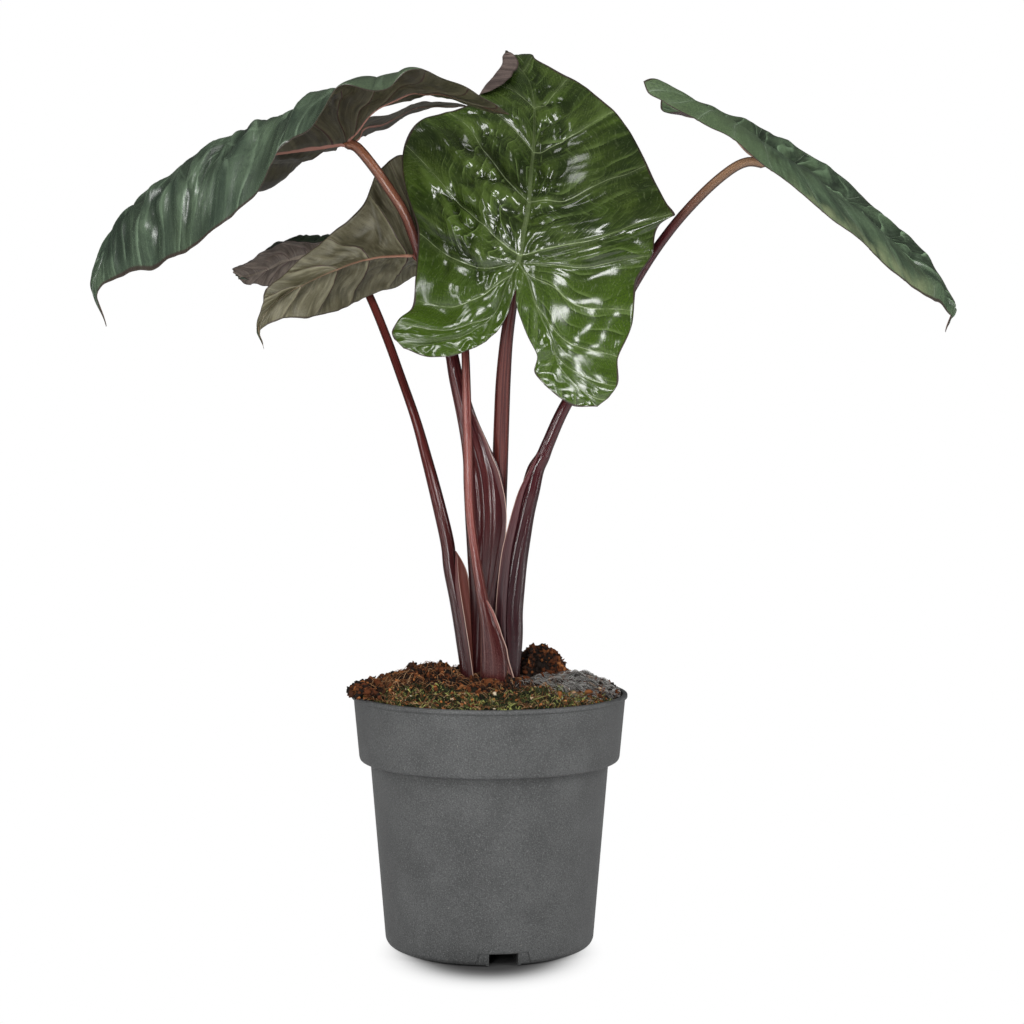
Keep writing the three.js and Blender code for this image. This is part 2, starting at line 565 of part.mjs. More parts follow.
// A ring of points round one place on the route, hollowed on the channel's side
function stalkRing(rows, place, channel, facing, grow) {
  const [x, y, z, halfWidth, halfDepth, open] = alongRows(rows, place);
  const rowPoint = (at) => new THREE.Vector3(...alongRows(rows, at));
  const ahead = rowPoint(Math.min(place + DIRECTION_STEP, rows.length - 1));
  const behind = rowPoint(Math.max(place - DIRECTION_STEP, 0));
  const along = facing ?? ahead.sub(behind).normalize();
  const deep = new THREE.Vector3(0, 1, 0).addScaledVector(along, -along.y).normalize();
  const wide = deep.clone().cross(along);
  const ring = [];
  for (let k = 0; k < STALK_SIDES; k += 1) {
    const angle = (k / STALK_SIDES) * 2 * Math.PI;
    const hollow = open * Math.max(0, Math.cos(angle - channel)) ** CHANNEL_SHARPNESS;
    ring.push(new THREE.Vector3(x, y, z)
      .addScaledVector(wide, (halfWidth + grow) * (1 - hollow) * Math.cos(angle))
      .addScaledVector(deep, (halfDepth + grow) * (1 - hollow) * Math.sin(angle)));
  }
  return ring;
}

function loft(rings) {
  const sides = rings[0].length;
  const positions = rings.flat().flatMap((point) => point.toArray());
  const index = [];
  for (let i = 0; i + 1 < rings.length; i += 1) {
    for (let k = 0; k < sides; k += 1) {
      const a = i * sides + k;
      const b = i * sides + ((k + 1) % sides);
      index.push(a, b, b + sides, a, b + sides, a + sides);
    }
  }
  for (const [ring, sign] of [[rings[0], -1], [rings.at(-1), 1]]) {
    const centre = new THREE.Vector3();
    ring.forEach((point) => centre.addScaledVector(point, 1 / sides));
    const middle = positions.length / 3;
    const first = sign < 0 ? 0 : (rings.length - 1) * sides;
    positions.push(...centre.toArray());
    for (let k = 0; k < sides; k += 1) {
      const a = first + k;
      const b = first + ((k + 1) % sides);
      index.push(...(sign > 0 ? [a, b, middle] : [b, a, middle]));
    }
  }
  const geometry = new THREE.BufferGeometry();
  geometry.setAttribute('position', new THREE.BufferAttribute(new Float32Array(positions), 3));
  geometry.setIndex(index);
  return geometry;
}

// A stalk from its foot in the soil to the middle of its blade, thicker all round by grow
function stalkSolid(stalk, sheet, grow) {
  const foot = stalk.route[0];
  const joint = sheet([0, 0]);
  const normal = sheetNormal(sheet, [0, 0]);
  const rows = [[foot[0], STALK_FOOT_Z, ...foot.slice(2)], ...stalk.route].map((row) => [
    ...sighted(row[0], row[1], row[2]).toArray(), ...row.slice(3)]);
  const last = rows.at(-1);
  rows.push([...joint.toArray(), last[3], last[4], 0]);
  const rings = [];
  for (let i = 0; i + 1 < rows.length; i += 1) {
    const length = Math.hypot(...[0, 1, 2].map((k) => rows[i + 1][k] - rows[i][k]));
    const parts = Math.max(1, Math.round(length / STALK_STEP));
    for (let k = 0; k < parts; k += 1) {
      rings.push(stalkRing(rows, i + k / parts, stalk.channel, null, grow));
    }
  }
  rings.push(stalkRing(rows, rows.length - 1, stalk.channel, normal, grow));
  return solidOf(loft(rings));
}

// Soil

function soilTop(r, angle) {
  const x = r * Math.cos(angle);
  const y = r * Math.sin(angle);
  const share = r / (COLLAR_TOP_RADIUS - WALL);
  const dome = SOIL_EDGE_Z + (SOIL_MIDDLE_Z - SOIL_EDGE_Z) * Math.cos((Math.PI / 2) * share);
  let height = dome;
  for (const mound of MOUNDS) {
    const away = Math.hypot(x - mound.x, y - mound.y) / mound.spread;
    height += mound.height * Math.exp(-(away ** mound.steepness));
  }
  for (const lump of LUMPS) {
    height += lump.height * Math.sin(x * lump.x + 1) * Math.cos(y * lump.y) * (1 - share ** 4);
  }
  return height;
}

function soilGeometry(stalkHoles) {
  const skin = WALL + GAP;
  const edgeRadius = COLLAR_TOP_RADIUS - skin - SOIL_EDGE_INSET;
  const ledge = COLLAR_FOOT_Z + skin;
  const side = [[bodyRadius(FOOT_HEIGHT) - skin - SOIL_FOOT_INSET, FLOOR + GAP],
    [bodyRadius(FOOT_HEIGHT) - skin, SOIL_FOOT_Z], [BODY_TOP_RADIUS - skin, ledge],
    [COLLAR_FOOT_RADIUS - skin, ledge], [edgeRadius, SOIL_EDGE_Z - SOIL_EDGE_DROP]];
  const ringOf = (r, heightAt) => Array.from({ length: POT_SIDES }, (_, k) => {
    const turn = (k / POT_SIDES) * 2 * Math.PI;
    return new THREE.Vector3(r * Math.cos(turn), r * Math.sin(turn), heightAt(turn));
  });
  const rings = side.map(([r, z]) => ringOf(r, () => z));
  for (let i = SOIL_RINGS; i > 0; i -= 1) {
    const r = (i / SOIL_RINGS) * edgeRadius;
    rings.push(ringOf(r, (turn) => soilTop(r, turn)));
  }
  let soil = solidOf(loft(rings));
  for (const hole of stalkHoles) {
    soil = soil.subtract(hole);
  }
  for (const turn of portTurns()) {
    soil = soil.subtract(boxSolid(CHANNEL_START - skin, RIM_RADIUS, PORT_WIDTH + 2 * skin,
      0, PORT_HEIGHT + skin, turn));
  }
  return geometryOf(soil);
}

// Plant and pot together

function mesh(name, geometry, colour, roughness) {
  const material = new THREE.MeshStandardMaterial({ color: colour, roughness, metalness: 0 });
  const result = new THREE.Mesh(geometry, material);
  result.name = name;
  return result;
}

const plant = new THREE.Group();
plant.add(mesh('pot', potGeometry(), 0x4b4e50, 0.55));

const sheets = new Map(LEAVES.map((leaf) => [leaf.name, leafSheet(leaf)]));
const holes = STALKS.map((stalk) => stalkSolid(stalk, sheets.get(stalk.name), GAP));
plant.add(mesh('soil', soilGeometry(holes), 0x3b2616, 0.95));

for (const leaf of LEAVES) {
  plant.add(mesh(`leaf_${leaf.name}`, bladeGeometry(sheets.get(leaf.name), 0), leaf.colour, 0.3));
}
for (const stalk of STALKS) {
  const sheet = sheets.get(stalk.name);
  const clearance = solidOf(bladeGeometry(sheet, GAP));
  const stem = mainPiece(stalkSolid(stalk, sheet, 0).subtract(clearance));
  plant.add(mesh(`stalk_${stalk.name}`, geometryOf(stem), stalk.colour, 0.4));
}

export default plant;
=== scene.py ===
"""A potted alocasia: fine leaves, stalks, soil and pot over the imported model, and a plain stage."""

import math

import bmesh
import bpy
import numpy as np
from bpy.props import FloatProperty, FloatVectorProperty, IntProperty, PointerProperty
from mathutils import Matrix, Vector


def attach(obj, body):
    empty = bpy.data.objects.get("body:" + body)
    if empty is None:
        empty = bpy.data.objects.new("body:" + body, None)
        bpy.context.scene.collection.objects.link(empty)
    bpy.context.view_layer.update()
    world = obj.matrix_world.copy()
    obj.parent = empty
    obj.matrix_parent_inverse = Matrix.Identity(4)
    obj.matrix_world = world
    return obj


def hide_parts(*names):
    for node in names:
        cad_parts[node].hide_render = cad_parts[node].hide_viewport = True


bl_info = {
    "name": "Potted Alocasia",
    "version": (1, 0, 0),
    "blender": (4, 5, 0),
    "location": "View3D > Sidebar > Alocasia",
    "description": "Builds the leaves, stalks, soil and pot of a potted alocasia",
    "category": "Add Mesh",
}

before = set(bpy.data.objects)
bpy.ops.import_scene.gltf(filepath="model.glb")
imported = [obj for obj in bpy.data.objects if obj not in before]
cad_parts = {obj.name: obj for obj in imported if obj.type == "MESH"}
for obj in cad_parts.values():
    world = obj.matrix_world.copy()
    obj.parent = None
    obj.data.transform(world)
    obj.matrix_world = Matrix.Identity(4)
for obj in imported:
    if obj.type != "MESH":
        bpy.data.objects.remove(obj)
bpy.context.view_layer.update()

MM = 0.001


def paint(red, green, blue):
    """A colour as a screen shows it, 0 to 255, turned into scene-linear numbers."""
    shares = (red / 255, green / 255, blue / 255)
    return (*(c / 12.92 if c < 0.04045 else ((c + 0.055) / 1.055) ** 2.4 for c in shares), 1.0)


# The eye that sights the plant's places: across and up are read in the upright plane through the
# pot's axis, and depth says how far behind that plane a place lies. All in millimetres.
EYE_DISTANCE = 1170
EYE_HEIGHT = 303

# The flat leaf, in millimetres: the stalk joins it at 0, 0 and the tip points up the second axis
TIP_RIB = [(0, v) for v in (200, 158, 122, 91, 64, 40, 20, 0)]
LOBE_RIB = [(0, 0), (5, -12), (14, -30), (26, -53), (38, -76), (50, -100)]
MARGIN = [
    (0, 200), (9, 166), (30, 138), (52, 107), (68, 77), (78, 48), (83, 20), (84, -10),
    (81, -36), (76, -60), (68, -82), (60, -95), (50, -100),
]
SINUS = [(0, -26), (4, -34), (11, -49), (22, -72), (35, -92), (50, -100)]
VEIN_SAG = 4
JOINT_ROW = 7
LAST_ROW = 12

# Where each side vein leaves the rib and where it meets the right and left margin, in the row
# numbers of the lists above
FRONT_VEINS = [
    (0, 0, 0), (0.95, 0.8, 0.6), (1.9, 1.8, 1.3), (3, 3, 2.05), (4.4, 4.4, 3), (6.5, 5.9, 4.6),
    (7, 7.1, 7), (8, 8.7, 8.6), (9.2, 9.9, 9.9), (10.3, 10.9, 10.9), (11.3, 11.5, 11.5), (12, 12, 12),
]
USUAL_VEINS = [
    (0, 0, 0), (0.95, 0.7, 0.7), (1.9, 1.55, 1.55), (3, 2.5, 2.5), (4.4, 3.7, 3.7), (6.4, 5.4, 5.4),
    (7, 7, 7), (8, 8.6, 8.6), (9.2, 9.9, 9.9), (10.3, 10.9, 10.9), (11.3, 11.5, 11.5), (12, 12, 12),
]
JOINT_VEIN = 6

# How far a blade, a sinus strip and a fold are divided: the first two over the leaf's step
BLADE_COLUMNS = 72
SINUS_COLUMNS = 26
FOLD_COLUMNS = 14

# The outward way at the tip of a lobe, and how far the margin's brink lies beyond the margin
LOBE_END_WAY = (0.45, -0.89)
BRINK = 0.45

# Each leaf's pins: where points of the flat leaf lie on the plant. A midrib pin starts with its
# place along the rib, a margin or sinus pin with its point's number, and a spare pin with both flat
# coordinates; then come across, up and depth. The other values say how it is dressed. Pairs are for
# the right half and the left, step is the length of the mesh's cells, and fold says how far the margin
# rolls over the blade, by the margin's row numbers. The colours of the upper face are its deep and its
# light green and the lobes' green, and those of the underside are dark, light and its veins.
LEAVES = {
    "front": {
        "midrib": [
            (200, 16.5, 539, 96), (187, 18, 546.5, 88), (170, 21, 541, 69), (150, 24, 531, 50),
            (110, 27.5, 502.5, 18), (55, 24, 458, -18), (0, 17.5, 418.5, -35), (-26, 16.5, 401.5, -41),
        ],
        "right": [
            (1, 28.5, 543.5, 64), (2, 53.5, 530, 38), (3, 77, 511.5, 14), (4, 93, 487, -4),
            (5, 102.5, 467, -18), (5.7, 110, 453.5, -30), (6, 114, 447.5, -36), (6.3, 104.5, 440.5, -34),
            (7, 101, 424, -36), (8, 90.5, 407.5, -42), (9, 88, 379.5, -50), (10, 79, 358, -54),
            (11, 78, 340.5, -57), (12, 66.5, 329.5, -58),
        ],
        "right_sinus": [
            (4, 48, 332, -58), (3, 28, 351, -54), (2.5, 30, 359.5, -52), (2, 25.5, 369.5, -50),
            (1, 17.5, 391.5, -44),
        ],
        "left": [
            (0.5, 10.5, 544.5, 78), (1, 6, 534, 62), (1.5, -0.5, 526, 46), (2, -5, 520.5, 34),
            (3, -25.5, 511.5, 26), (4, -46.5, 502.5, 18),
            (5, -53.5, 483, 8), (6, -50.5, 459.5, 0), (7, -44, 437, -6), (8, -45.5, 407.5, -14),
            (9, -48, 390, -18), (10, -58, 379.5, -20), (11, -59.5, 373, -22), (12, -53, 365.5, -26),
        ],
        "left_sinus": [
            (4, -35.5, 359.5, -34), (3, -14.5, 362.5, -40), (2, 1.5, 371.5, -42), (1, 12.5, 387.5, -42),
        ],
        "spare": [],
        "fold": {"side": -1, "rows": [0.25, 0.45, 0.7, 1, 1.3, 1.6, 1.9, 2.1],
                 "reach": [0, 9, 14, 18, 20, 17, 10, 0]},
        "relief": {
            "swell": (0.4, 1.0), "pucker": 2.4, "trough": 2.2, "ruffle": 1.0, "lumps": 1.4,
            "folds": (0.8, 1.1), "reach": (26, 105),
        },
        "veins": FRONT_VEINS,
        "step": 1.4, "bump": 0.2, "gloss": 0.07, "streak": 0.4, "pleats": (0.45, 0.12),
        "rungs": (0.3, 0.6), "seed": 11,
        "upper": [paint(40, 53, 24), paint(66, 82, 35), paint(63, 87, 18)],
        "vein": paint(132, 146, 104),
        "under": [paint(64, 54, 52), paint(112, 98, 92), paint(58, 38, 40)],
        "under_rib": paint(160, 110, 96),
    },
    "big_left": {
        "midrib": [
            (200, -237, 379, 12), (178, -244.5, 401.5, 12), (150, -238, 423.5, 13),
            (110, -197.5, 465, 12), (55, -138, 489, 10), (0, -89.5, 497.5, 8), (-26, -79, 502, 10),
        ],
        "right": [
            (1, -245, 410, 18), (2, -233.5, 430.5, 40), (3, -212.5, 454.5, 66), (4, -185, 471.5, 86),
            (5, -144.5, 462, 104), (6, -126, 474, 108), (7, -106, 489.5, 106), (8, -86, 492, 104),
            (9, -66.5, 499.5, 100), (10, -52, 506.5, 94), (11, -37, 513, 88), (12, -14.5, 515, 82),
        ],
        "right_sinus": [(4, -30.5, 517, 66), (3, -46.5, 515, 54), (2, -65, 509, 34), (1, -76.5, 505.5, 20)],
        "left": [
            (1, -238, 405, 4), (2, -210, 414.5, -22), (3, -187.5, 425.5, -46), (4, -165.5, 441.5, -64),
            (5, -144.5, 461, -76), (6, -127, 488, -84), (7, -108.5, 505, -88), (8, -89.5, 525, -88),
            (9, -61.5, 526, -84), (10, -37, 536.5, -76), (11, -11, 523, -58), (12, 12, 510, -42),
        ],
        "left_sinus": [(4, -12, 514.5, -26), (3, -32, 521, -14), (2, -54, 518, -4), (1, -75, 509, 2)],
        "spare": [
            (-19, 153, -226, 408.5, -8), (-56, 14, -114.5, 516, -50), (-60, -20, -86, 528, -62),
            (-62, -58, -58, 533, -62), (-44, 58, -150.5, 497.5, -38), (-30, 100, -189, 473, -26),
            (-26, 16, -109.5, 505.5, -18), (-30, -24, -82.5, 515, -26), (-22, 56, -144.5, 494, -14),
            (-14, 140, -227, 441, 0),
        ],
        "relief": {
            "swell": (1.0, 1.0), "pucker": 1.9, "trough": 4.0, "ruffle": 0.5, "lumps": 1.2,
            "folds": (1.1, 1.1), "reach": (110, 110),
        },
        "veins": USUAL_VEINS,
        "step": 1.7, "bump": 0.3, "gloss": 0.2, "streak": 0.3, "pleats": (0.32, 0.4),
        "rungs": (0.25, 0.35), "seed": 23,
        "upper": [paint(54, 67, 55), paint(84, 100, 80), paint(90, 106, 80)],
        # Dark side veins: this vein colour is painted shade in their furrows
        "vein": paint(42, 54, 44),
        "under": [paint(58, 54, 40), paint(84, 80, 60), paint(58, 34, 32)],
        "under_rib": paint(176, 122, 108),
    },
    "right": {
        "midrib": [
            (200, 282, 375.5, 2), (178, 286.5, 387.5, 0), (150, 278.5, 398, 4), (110, 245, 429, 6),
            (55, 208, 459.5, 6), (0, 172, 484, 4), (-26, 156, 493, 2),
        ],
        "right": [
            (1, 283.5, 387, -6), (1.5, 275.5, 394.5, -20), (2, 266, 400, -36), (3, 247.5, 413, -58),
            (4, 230, 431.5, -72),
            (5, 213, 443.5, -80), (6, 194.5, 460, -84), (7, 174.5, 475, -85), (8, 161, 486.5, -82),
            (9, 143.5, 498.5, -76), (10, 126.5, 507, -68), (11, 108, 518, -56), (11.5, 98.5, 524, -52),
            (12, 95.5, 530, -46),
        ],
        "right_sinus": [
            (4.6, 100, 532, -40), (4, 110.5, 528, -34), (3, 127.5, 518, -22), (2, 141, 509, -10),
            (1, 150.5, 502, -4),
        ],
        "left": [
            (1, 287.5, 394, 6), (2, 272, 420.5, 30), (3, 248, 444, 54), (4, 224, 465, 72),
            (5, 204, 481, 80), (6, 185.5, 492, 84), (7, 168.5, 501.5, 86), (8, 155, 507, 84),
            (9, 142.5, 512, 80), (10, 130, 518, 72), (11, 116.5, 523.5, 64), (12, 106.5, 520, 56),
        ],
        "left_sinus": [(4, 108, 512, 40), (3, 124, 511.5, 24), (2, 139.5, 506.5, 12), (1, 150, 501.5, 4)],
        "spare": [
            (30, -15, 163, 496.5, -34), (30, 20, 185, 481.5, -36), (28, 55, 202, 469.5, -34),
            (24, 90, 231.5, 445, -30), (20, 110, 245, 433.5, -24), (14, 150, 278, 403, -12),
        ],
        "relief": {
            "swell": (0.3, 1.3), "pucker": 0.9, "trough": 3.0, "ruffle": 0.3, "lumps": 0.5,
            "folds": (0.4, 1.7), "reach": (60, 60),
        },
        "veins": USUAL_VEINS,
        "step": 1.9,
        # Colour of the painted highlight along the right half's rim
        "painted_rim_highlight": paint(132, 142, 104),
        "bump": 0.12, "gloss": 0.3, "streak": 0.35, "pleats": (0.06, 0.85), "rungs": (0.03, 0.25),
        "seed": 37,
        "upper": [paint(52, 67, 50), paint(82, 102, 76), paint(92, 112, 76)],
        "vein": paint(124, 140, 118),
        "under": [paint(78, 62, 62), paint(104, 88, 84), paint(72, 42, 44)],
        "under_rib": paint(190, 156, 128),
    },
    "low_left": {
        "midrib": [
            (200, -139.5, 365, -10), (178, -143, 376.5, -10), (150, -132, 394, -4),
            (110, -105, 409.5, 8), (55, -75, 420.5, 20), (0, -45.5, 422.5, 26), (-26, -35.5, 423.5, 28),
        ],
        "right": [
            (1, -139.5, 378.5, -6), (2, -118.5, 384, 12), (3, -98.5, 387, 32), (4, -83.5, 394.5, 44),
            (5, -69, 399.5, 52), (6, -55.5, 405.5, 58), (7, -41.5, 410, 62), (9, -27, 415, 64),
            (12, -9.5, 418.5, 56),
        ],
        "right_sinus": [(3, -23, 421, 42), (2, -30.5, 422.5, 34)],
        "left": [
            (1, -143, 385, -6), (2, -137, 401.5, 2), (3, -116, 421.5, 14), (4, -95, 437.5, 26),
            (5, -77.5, 452.5, 34), (6, -71.5, 470.5, 42), (7, -62, 480.5, 44), (8, -48, 486.5, 46),
            (9, -37, 488, 48), (10, -25.5, 484, 48), (11, -19.5, 479, 48), (12, -16, 471.5, 46),
        ],
        "left_sinus": [(3, -23, 450.5, 40), (2, -30.5, 433.5, 34)],
        "spare": [],
        "relief": {
            "swell": (2.0, 2.0), "pucker": 0.4, "trough": 1.2, "ruffle": 0.5, "lumps": 1.5,
            "folds": (1, 1), "reach": (60, 60),
        },
        "veins": USUAL_VEINS,
        "step": 2.2, "bump": 0.3, "gloss": 0.2, "streak": 0.4, "pleats": (0.2, 0.2),
        "rungs": (0.1, 0.1), "seed": 41,
        "upper": [paint(36, 58, 38), paint(54, 78, 50), paint(60, 86, 48)],
        "vein": paint(118, 132, 108),
        "under": [paint(86, 82, 60), paint(120, 116, 94), paint(58, 32, 34)],
        "under_rib": paint(184, 132, 110),
    },
    "back_left": {
        "midrib": [
            (200, -149, 407.5, 102), (178, -156, 410.5, 100), (150, -149, 410.5, 99),
            (110, -130.5, 418.5, 97), (55, -112, 423.5, 95), (0, -93.5, 428, 92), (-26, -86, 429, 90),
        ],
        "right": [
            (1, -152.5, 406, 104), (2, -143.5, 404.5, 114), (4, -123.5, 400.5, 130), (6, -103.5, 402.5, 136),
            (8, -88.5, 407.5, 134), (10, -74, 413.5, 124), (12, -61.5, 421.5, 108),
        ],
        "right_sinus": [(3, -76.5, 426, 96)],
        "left": [
            (1, -158.5, 414.5, 94), (2, -148, 419, 78), (4, -126, 430.5, 60), (6, -105, 430.5, 48),
            (8, -86, 433.5, 46), (10, -70, 437, 52), (12, -58, 435.5, 64),
        ],
        "left_sinus": [(3, -76.5, 432, 80)],
        "spare": [],
        "relief": {
            "swell": (1.6, 1.6), "pucker": 0.3, "trough": 1.0, "ruffle": 0.4, "lumps": 0.8,
            "folds": (1, 1), "reach": (60, 60),
        },
        "veins": USUAL_VEINS,
        "step": 2.8, "bump": 0.3, "gloss": 0.22, "streak": 0.4, "pleats": (0.2, 0.2),
        "rungs": (0.1, 0.1), "seed": 53,
        "upper": [paint(36, 54, 36), paint(52, 72, 48), paint(58, 80, 48)],
        "vein": paint(116, 128, 108),
        "under": [paint(92, 82, 74), paint(128, 116, 106), paint(82, 56, 56)],
        "under_rib": paint(182, 168, 148),
    },
}

# Each stalk from the soil up to its leaf: across, up, depth, half width and half depth, then how
# deep the sheath's channel is cut. The channel faces the turn given, from +X. The skin holds the
# colours at the foot, at mid height, under the leaf and in the stripes; reddens and pale are the shares
# of the length over which the second and the third come in. Flute is its ridges' pitch and height.
STALKS = {
    "front": {
        "channel": -math.pi / 2,
        "route": [
            (5, 160, 11, 4.4, 4.4, 0.2), (5.5, 234, 11, 4.6, 4.6, 0.15), (6, 272, 10.5, 4.8, 4.7, 0),
            (6.5, 290, 9, 4.9, 4.8, 0), (7.5, 321, 1, 4.8, 4.7, 0), (8.5, 345, -7, 4.6, 4.5, 0),
            (10.5, 370, -16, 4, 4, 0), (14, 395, -26, 3.5, 3.4, 0), (16.5, 409, -32, 3.2, 3.1, 0),
        ],
        "skin": [paint(52, 18, 19), paint(78, 28, 26), paint(88, 34, 29), paint(132, 72, 62)],
        "reddens": (0.12, 0.5), "pale": (0.6, 0.95), "specks": 0.7, "flute": (4.2, 0.16),
    },
    "big_left": {
        "channel": -math.pi / 2,
        "route": [
            (-7.8, 160, 6, 4.3, 4.3, 0.2), (-6.5, 185, 5, 5.4, 4.4, 0.25), (-5.2, 210, 4, 7, 4.4, 0.3),
            (-3.6, 234, 2, 10, 4.4, 0.35), (-2.4, 259, 1, 12.6, 4.3, 0.35), (-4, 284, 1, 12.2, 4.1, 0.3),
            (-8.5, 303, 1, 8.6, 3.8, 0.2), (-14, 322, 1, 6, 3.6, 0.1), (-20.5, 347, 2, 4.6, 3.5, 0),
            (-23.5, 362, 3, 4, 3.5, 0), (-29, 383, 6, 3.6, 3.4, 0), (-36, 404, 9, 3.5, 3.3, 0),
            (-44, 426, 12, 3.4, 3.3, 0), (-52, 447.5, 14, 3.3, 3.3, 0), (-61.5, 463, 14, 3.3, 3.3, 0),
            (-72.5, 478.5, 12, 3.3, 3.3, 0), (-82, 489.5, 10, 3.3, 3.3, 0),
        ],
        "skin": [paint(56, 22, 25), paint(78, 28, 32), paint(178, 118, 86), paint(116, 66, 62)],
        "reddens": (0.2, 0.6), "pale": (0.76, 0.93), "specks": 1.1, "flute": (9.3, 0.7),
    },
    "right": {
        "channel": -math.pi / 2,
        "route": [
            (12.6, 160, 0, 6.2, 4.8, 0.1), (12, 186, 0, 8.6, 5, 0.15), (11.4, 202, 0, 9.3, 5, 0.2),
            (12.8, 217.5, 0, 9.1, 4.9, 0.2), (15.1, 233, 0, 8.3, 4.8, 0.2), (18.2, 248.5, 0, 7.4, 4.7, 0.15),
            (21.6, 264, 0, 6.5, 4.5, 0.1), (25.3, 277.7, 0, 5.9, 4.4, 0), (28.5, 290, 1, 5.3, 4.3, 0),
            (32.8, 298, 1, 4.4, 4.2, 0), (36.5, 307, 2, 4, 4, 0), (46, 328, 2, 3.7, 3.6, 0),
            (63, 357, 3, 3.3, 3.2, 0), (91.5, 408.5, 4, 3.1, 3, 0),
            (111.5, 438, 4, 3, 3, 0), (132, 461, 3, 3, 3, 0), (149, 475.5, 3, 3, 3, 0),
            (160, 480.5, 3, 3, 3, 0),
        ],
        "skin": [paint(46, 18, 24), paint(88, 28, 34), paint(196, 158, 122), paint(104, 62, 62)],
        "reddens": (0.2, 0.75), "pale": (0.8, 0.96), "specks": 0.7, "flute": (5.2, 0.3),
    },
    "low_left": {
        "channel": math.pi / 2,
        "route": [
            (2.8, 160, -11, 8.6, 4.4, 0.2), (2.2, 178, -11, 8, 4.4, 0.25), (-1.2, 197, -11, 5, 4.2, 0.2),
            (-4.6, 212, -10.5, 3.7, 3.7, 0.1), (-9.2, 240, -9, 2.9, 3.1, 0), (-12.2, 266, -8, 2.8, 2.9, 0),
            (-13.3, 300, -7, 2.8, 2.9, 0), (-14, 330, -5, 2.8, 2.8, 0), (-15, 364, -1, 2.5, 2.6, 0),
            (-17, 377, 3, 2.7, 2.8, 0), (-22, 391, 9, 2.7, 2.7, 0), (-29, 404, 15, 2.7, 2.7, 0),
            (-37.5, 415.5, 21, 2.7, 2.7, 0),
        ],
        "skin": [paint(60, 20, 21), paint(124, 60, 55), paint(160, 92, 82), paint(194, 132, 122)],
        "reddens": (0.22, 0.46), "pale": (0.7, 0.95), "specks": 0.6, "flute": (2.4, 0.14),
    },
    "back_left": {
        "channel": 0,
        "route": [
            (-13, 160, -3, 4.8, 4.5, 0.4), (-16, 185, -2, 4.8, 4.4, 0.4), (-20, 209, -1, 4.6, 4.3, 0.35),
            (-24, 229, 1, 4.5, 4.2, 0.2), (-26, 245, 3, 4.3, 4.1, 0), (-32, 271, 8, 4, 3.9, 0),
            (-38.5, 296, 15, 3.5, 3.5, 0), (-45.5, 321, 25, 3, 3, 0), (-54.5, 347, 39, 2.8, 2.8, 0),
            (-63, 370.5, 52, 2.8, 2.8, 0), (-73, 395, 66, 2.7, 2.7, 0), (-82, 412, 79, 2.6, 2.6, 0),
        ],
        "skin": [paint(48, 17, 20), paint(88, 30, 28), paint(118, 52, 42), paint(114, 64, 60)],
        "reddens": (0.2, 0.6), "pale": (0.7, 0.95), "specks": 0.7, "flute": (3.6, 0.14),
    },
}

# How high above the floor the stalks start, inside the soil
STALK_FOOT_UP = 122

# The free margins of the stalks' sheaths: the margin's own line, sighted, then how far off its root
# lies, across and in depth, and whether the margin is dry and orange-brown or pale
SHEATHS = {
    "back_left_near": {
        "stalk": "back_left",
        "line": [(-20.1, 238.7, -3), (-18.8, 222, -5), (-17, 209.7, -6), (-14.5, 194.3, -7),
                 (-12.1, 178.8, -8), (-9, 156, -8.5)],
        "root": (-4.5, 2.5),
        "dry": False,
    },
    "back_left_far": {
        "stalk": "back_left",
        "line": [(-20.6, 240, 4), (-16.4, 233.2, 4), (-13.3, 225.1, 4), (-11.4, 212, 4),
                 (-10, 196, 3.5), (-8.5, 176, 3), (-8, 156, 3)],
        "root": (-10, -1),
        "dry": True,
    },
    "big_left_near": {
        "stalk": "big_left",
        "line": [(-9.4, 324, -2.5), (-5.9, 316.6, -3.2), (-1.5, 306.7, -3.6), (1.5, 298.7, -3.6),
                 (5.3, 290, -3.2), (7.9, 280.8, -2.6), (9.8, 271.5, -2), (10.7, 259.1, -1.6),
                 (9, 240, -1.4), (5.6, 220, -1), (2, 198, 0)],
        "root": (-4.5, 2),
        "dry": False,
    },
    "low_left_near": {
        "stalk": "low_left",
        "line": [(-1.4, 209.5, -13.5), (2.8, 202.3, -13.5), (5.9, 194.3, -13.5), (8.3, 186.8, -13),
                 (10.8, 180, -12.5), (12.1, 172.6, -12), (14.8, 163.3, -11.5), (17, 155, -11)],
        "root": (-6.5, 2),
        "dry": False,
    },
    "right_near": {
        "stalk": "right",
        "line": [(30, 301, -3), (24.4, 290, -3.8), (18.2, 277.7, -4.4), (14.5, 266.6, -4.8),
                 (10.8, 253, -5), (7.7, 240.6, -5.2), (5.9, 228.2, -5.4), (4.6, 215.9, -5.4),
                 (3.6, 200, -5.2), (3.8, 180, -4.8), (5.4, 158, -4.4)],
        "root": (6.5, -3.2),
        "dry": False,
    },
    "right_far": {
        "stalk": "right",
        "line": [(29, 299.5, 0), (22.4, 287.5, 0.6), (19, 277, 1), (15, 264, 1.2), (10.4, 248, 1.4),
                 (7, 234, 1.4)],
        "root": (8, 2),
        "dry": False,
    },
}


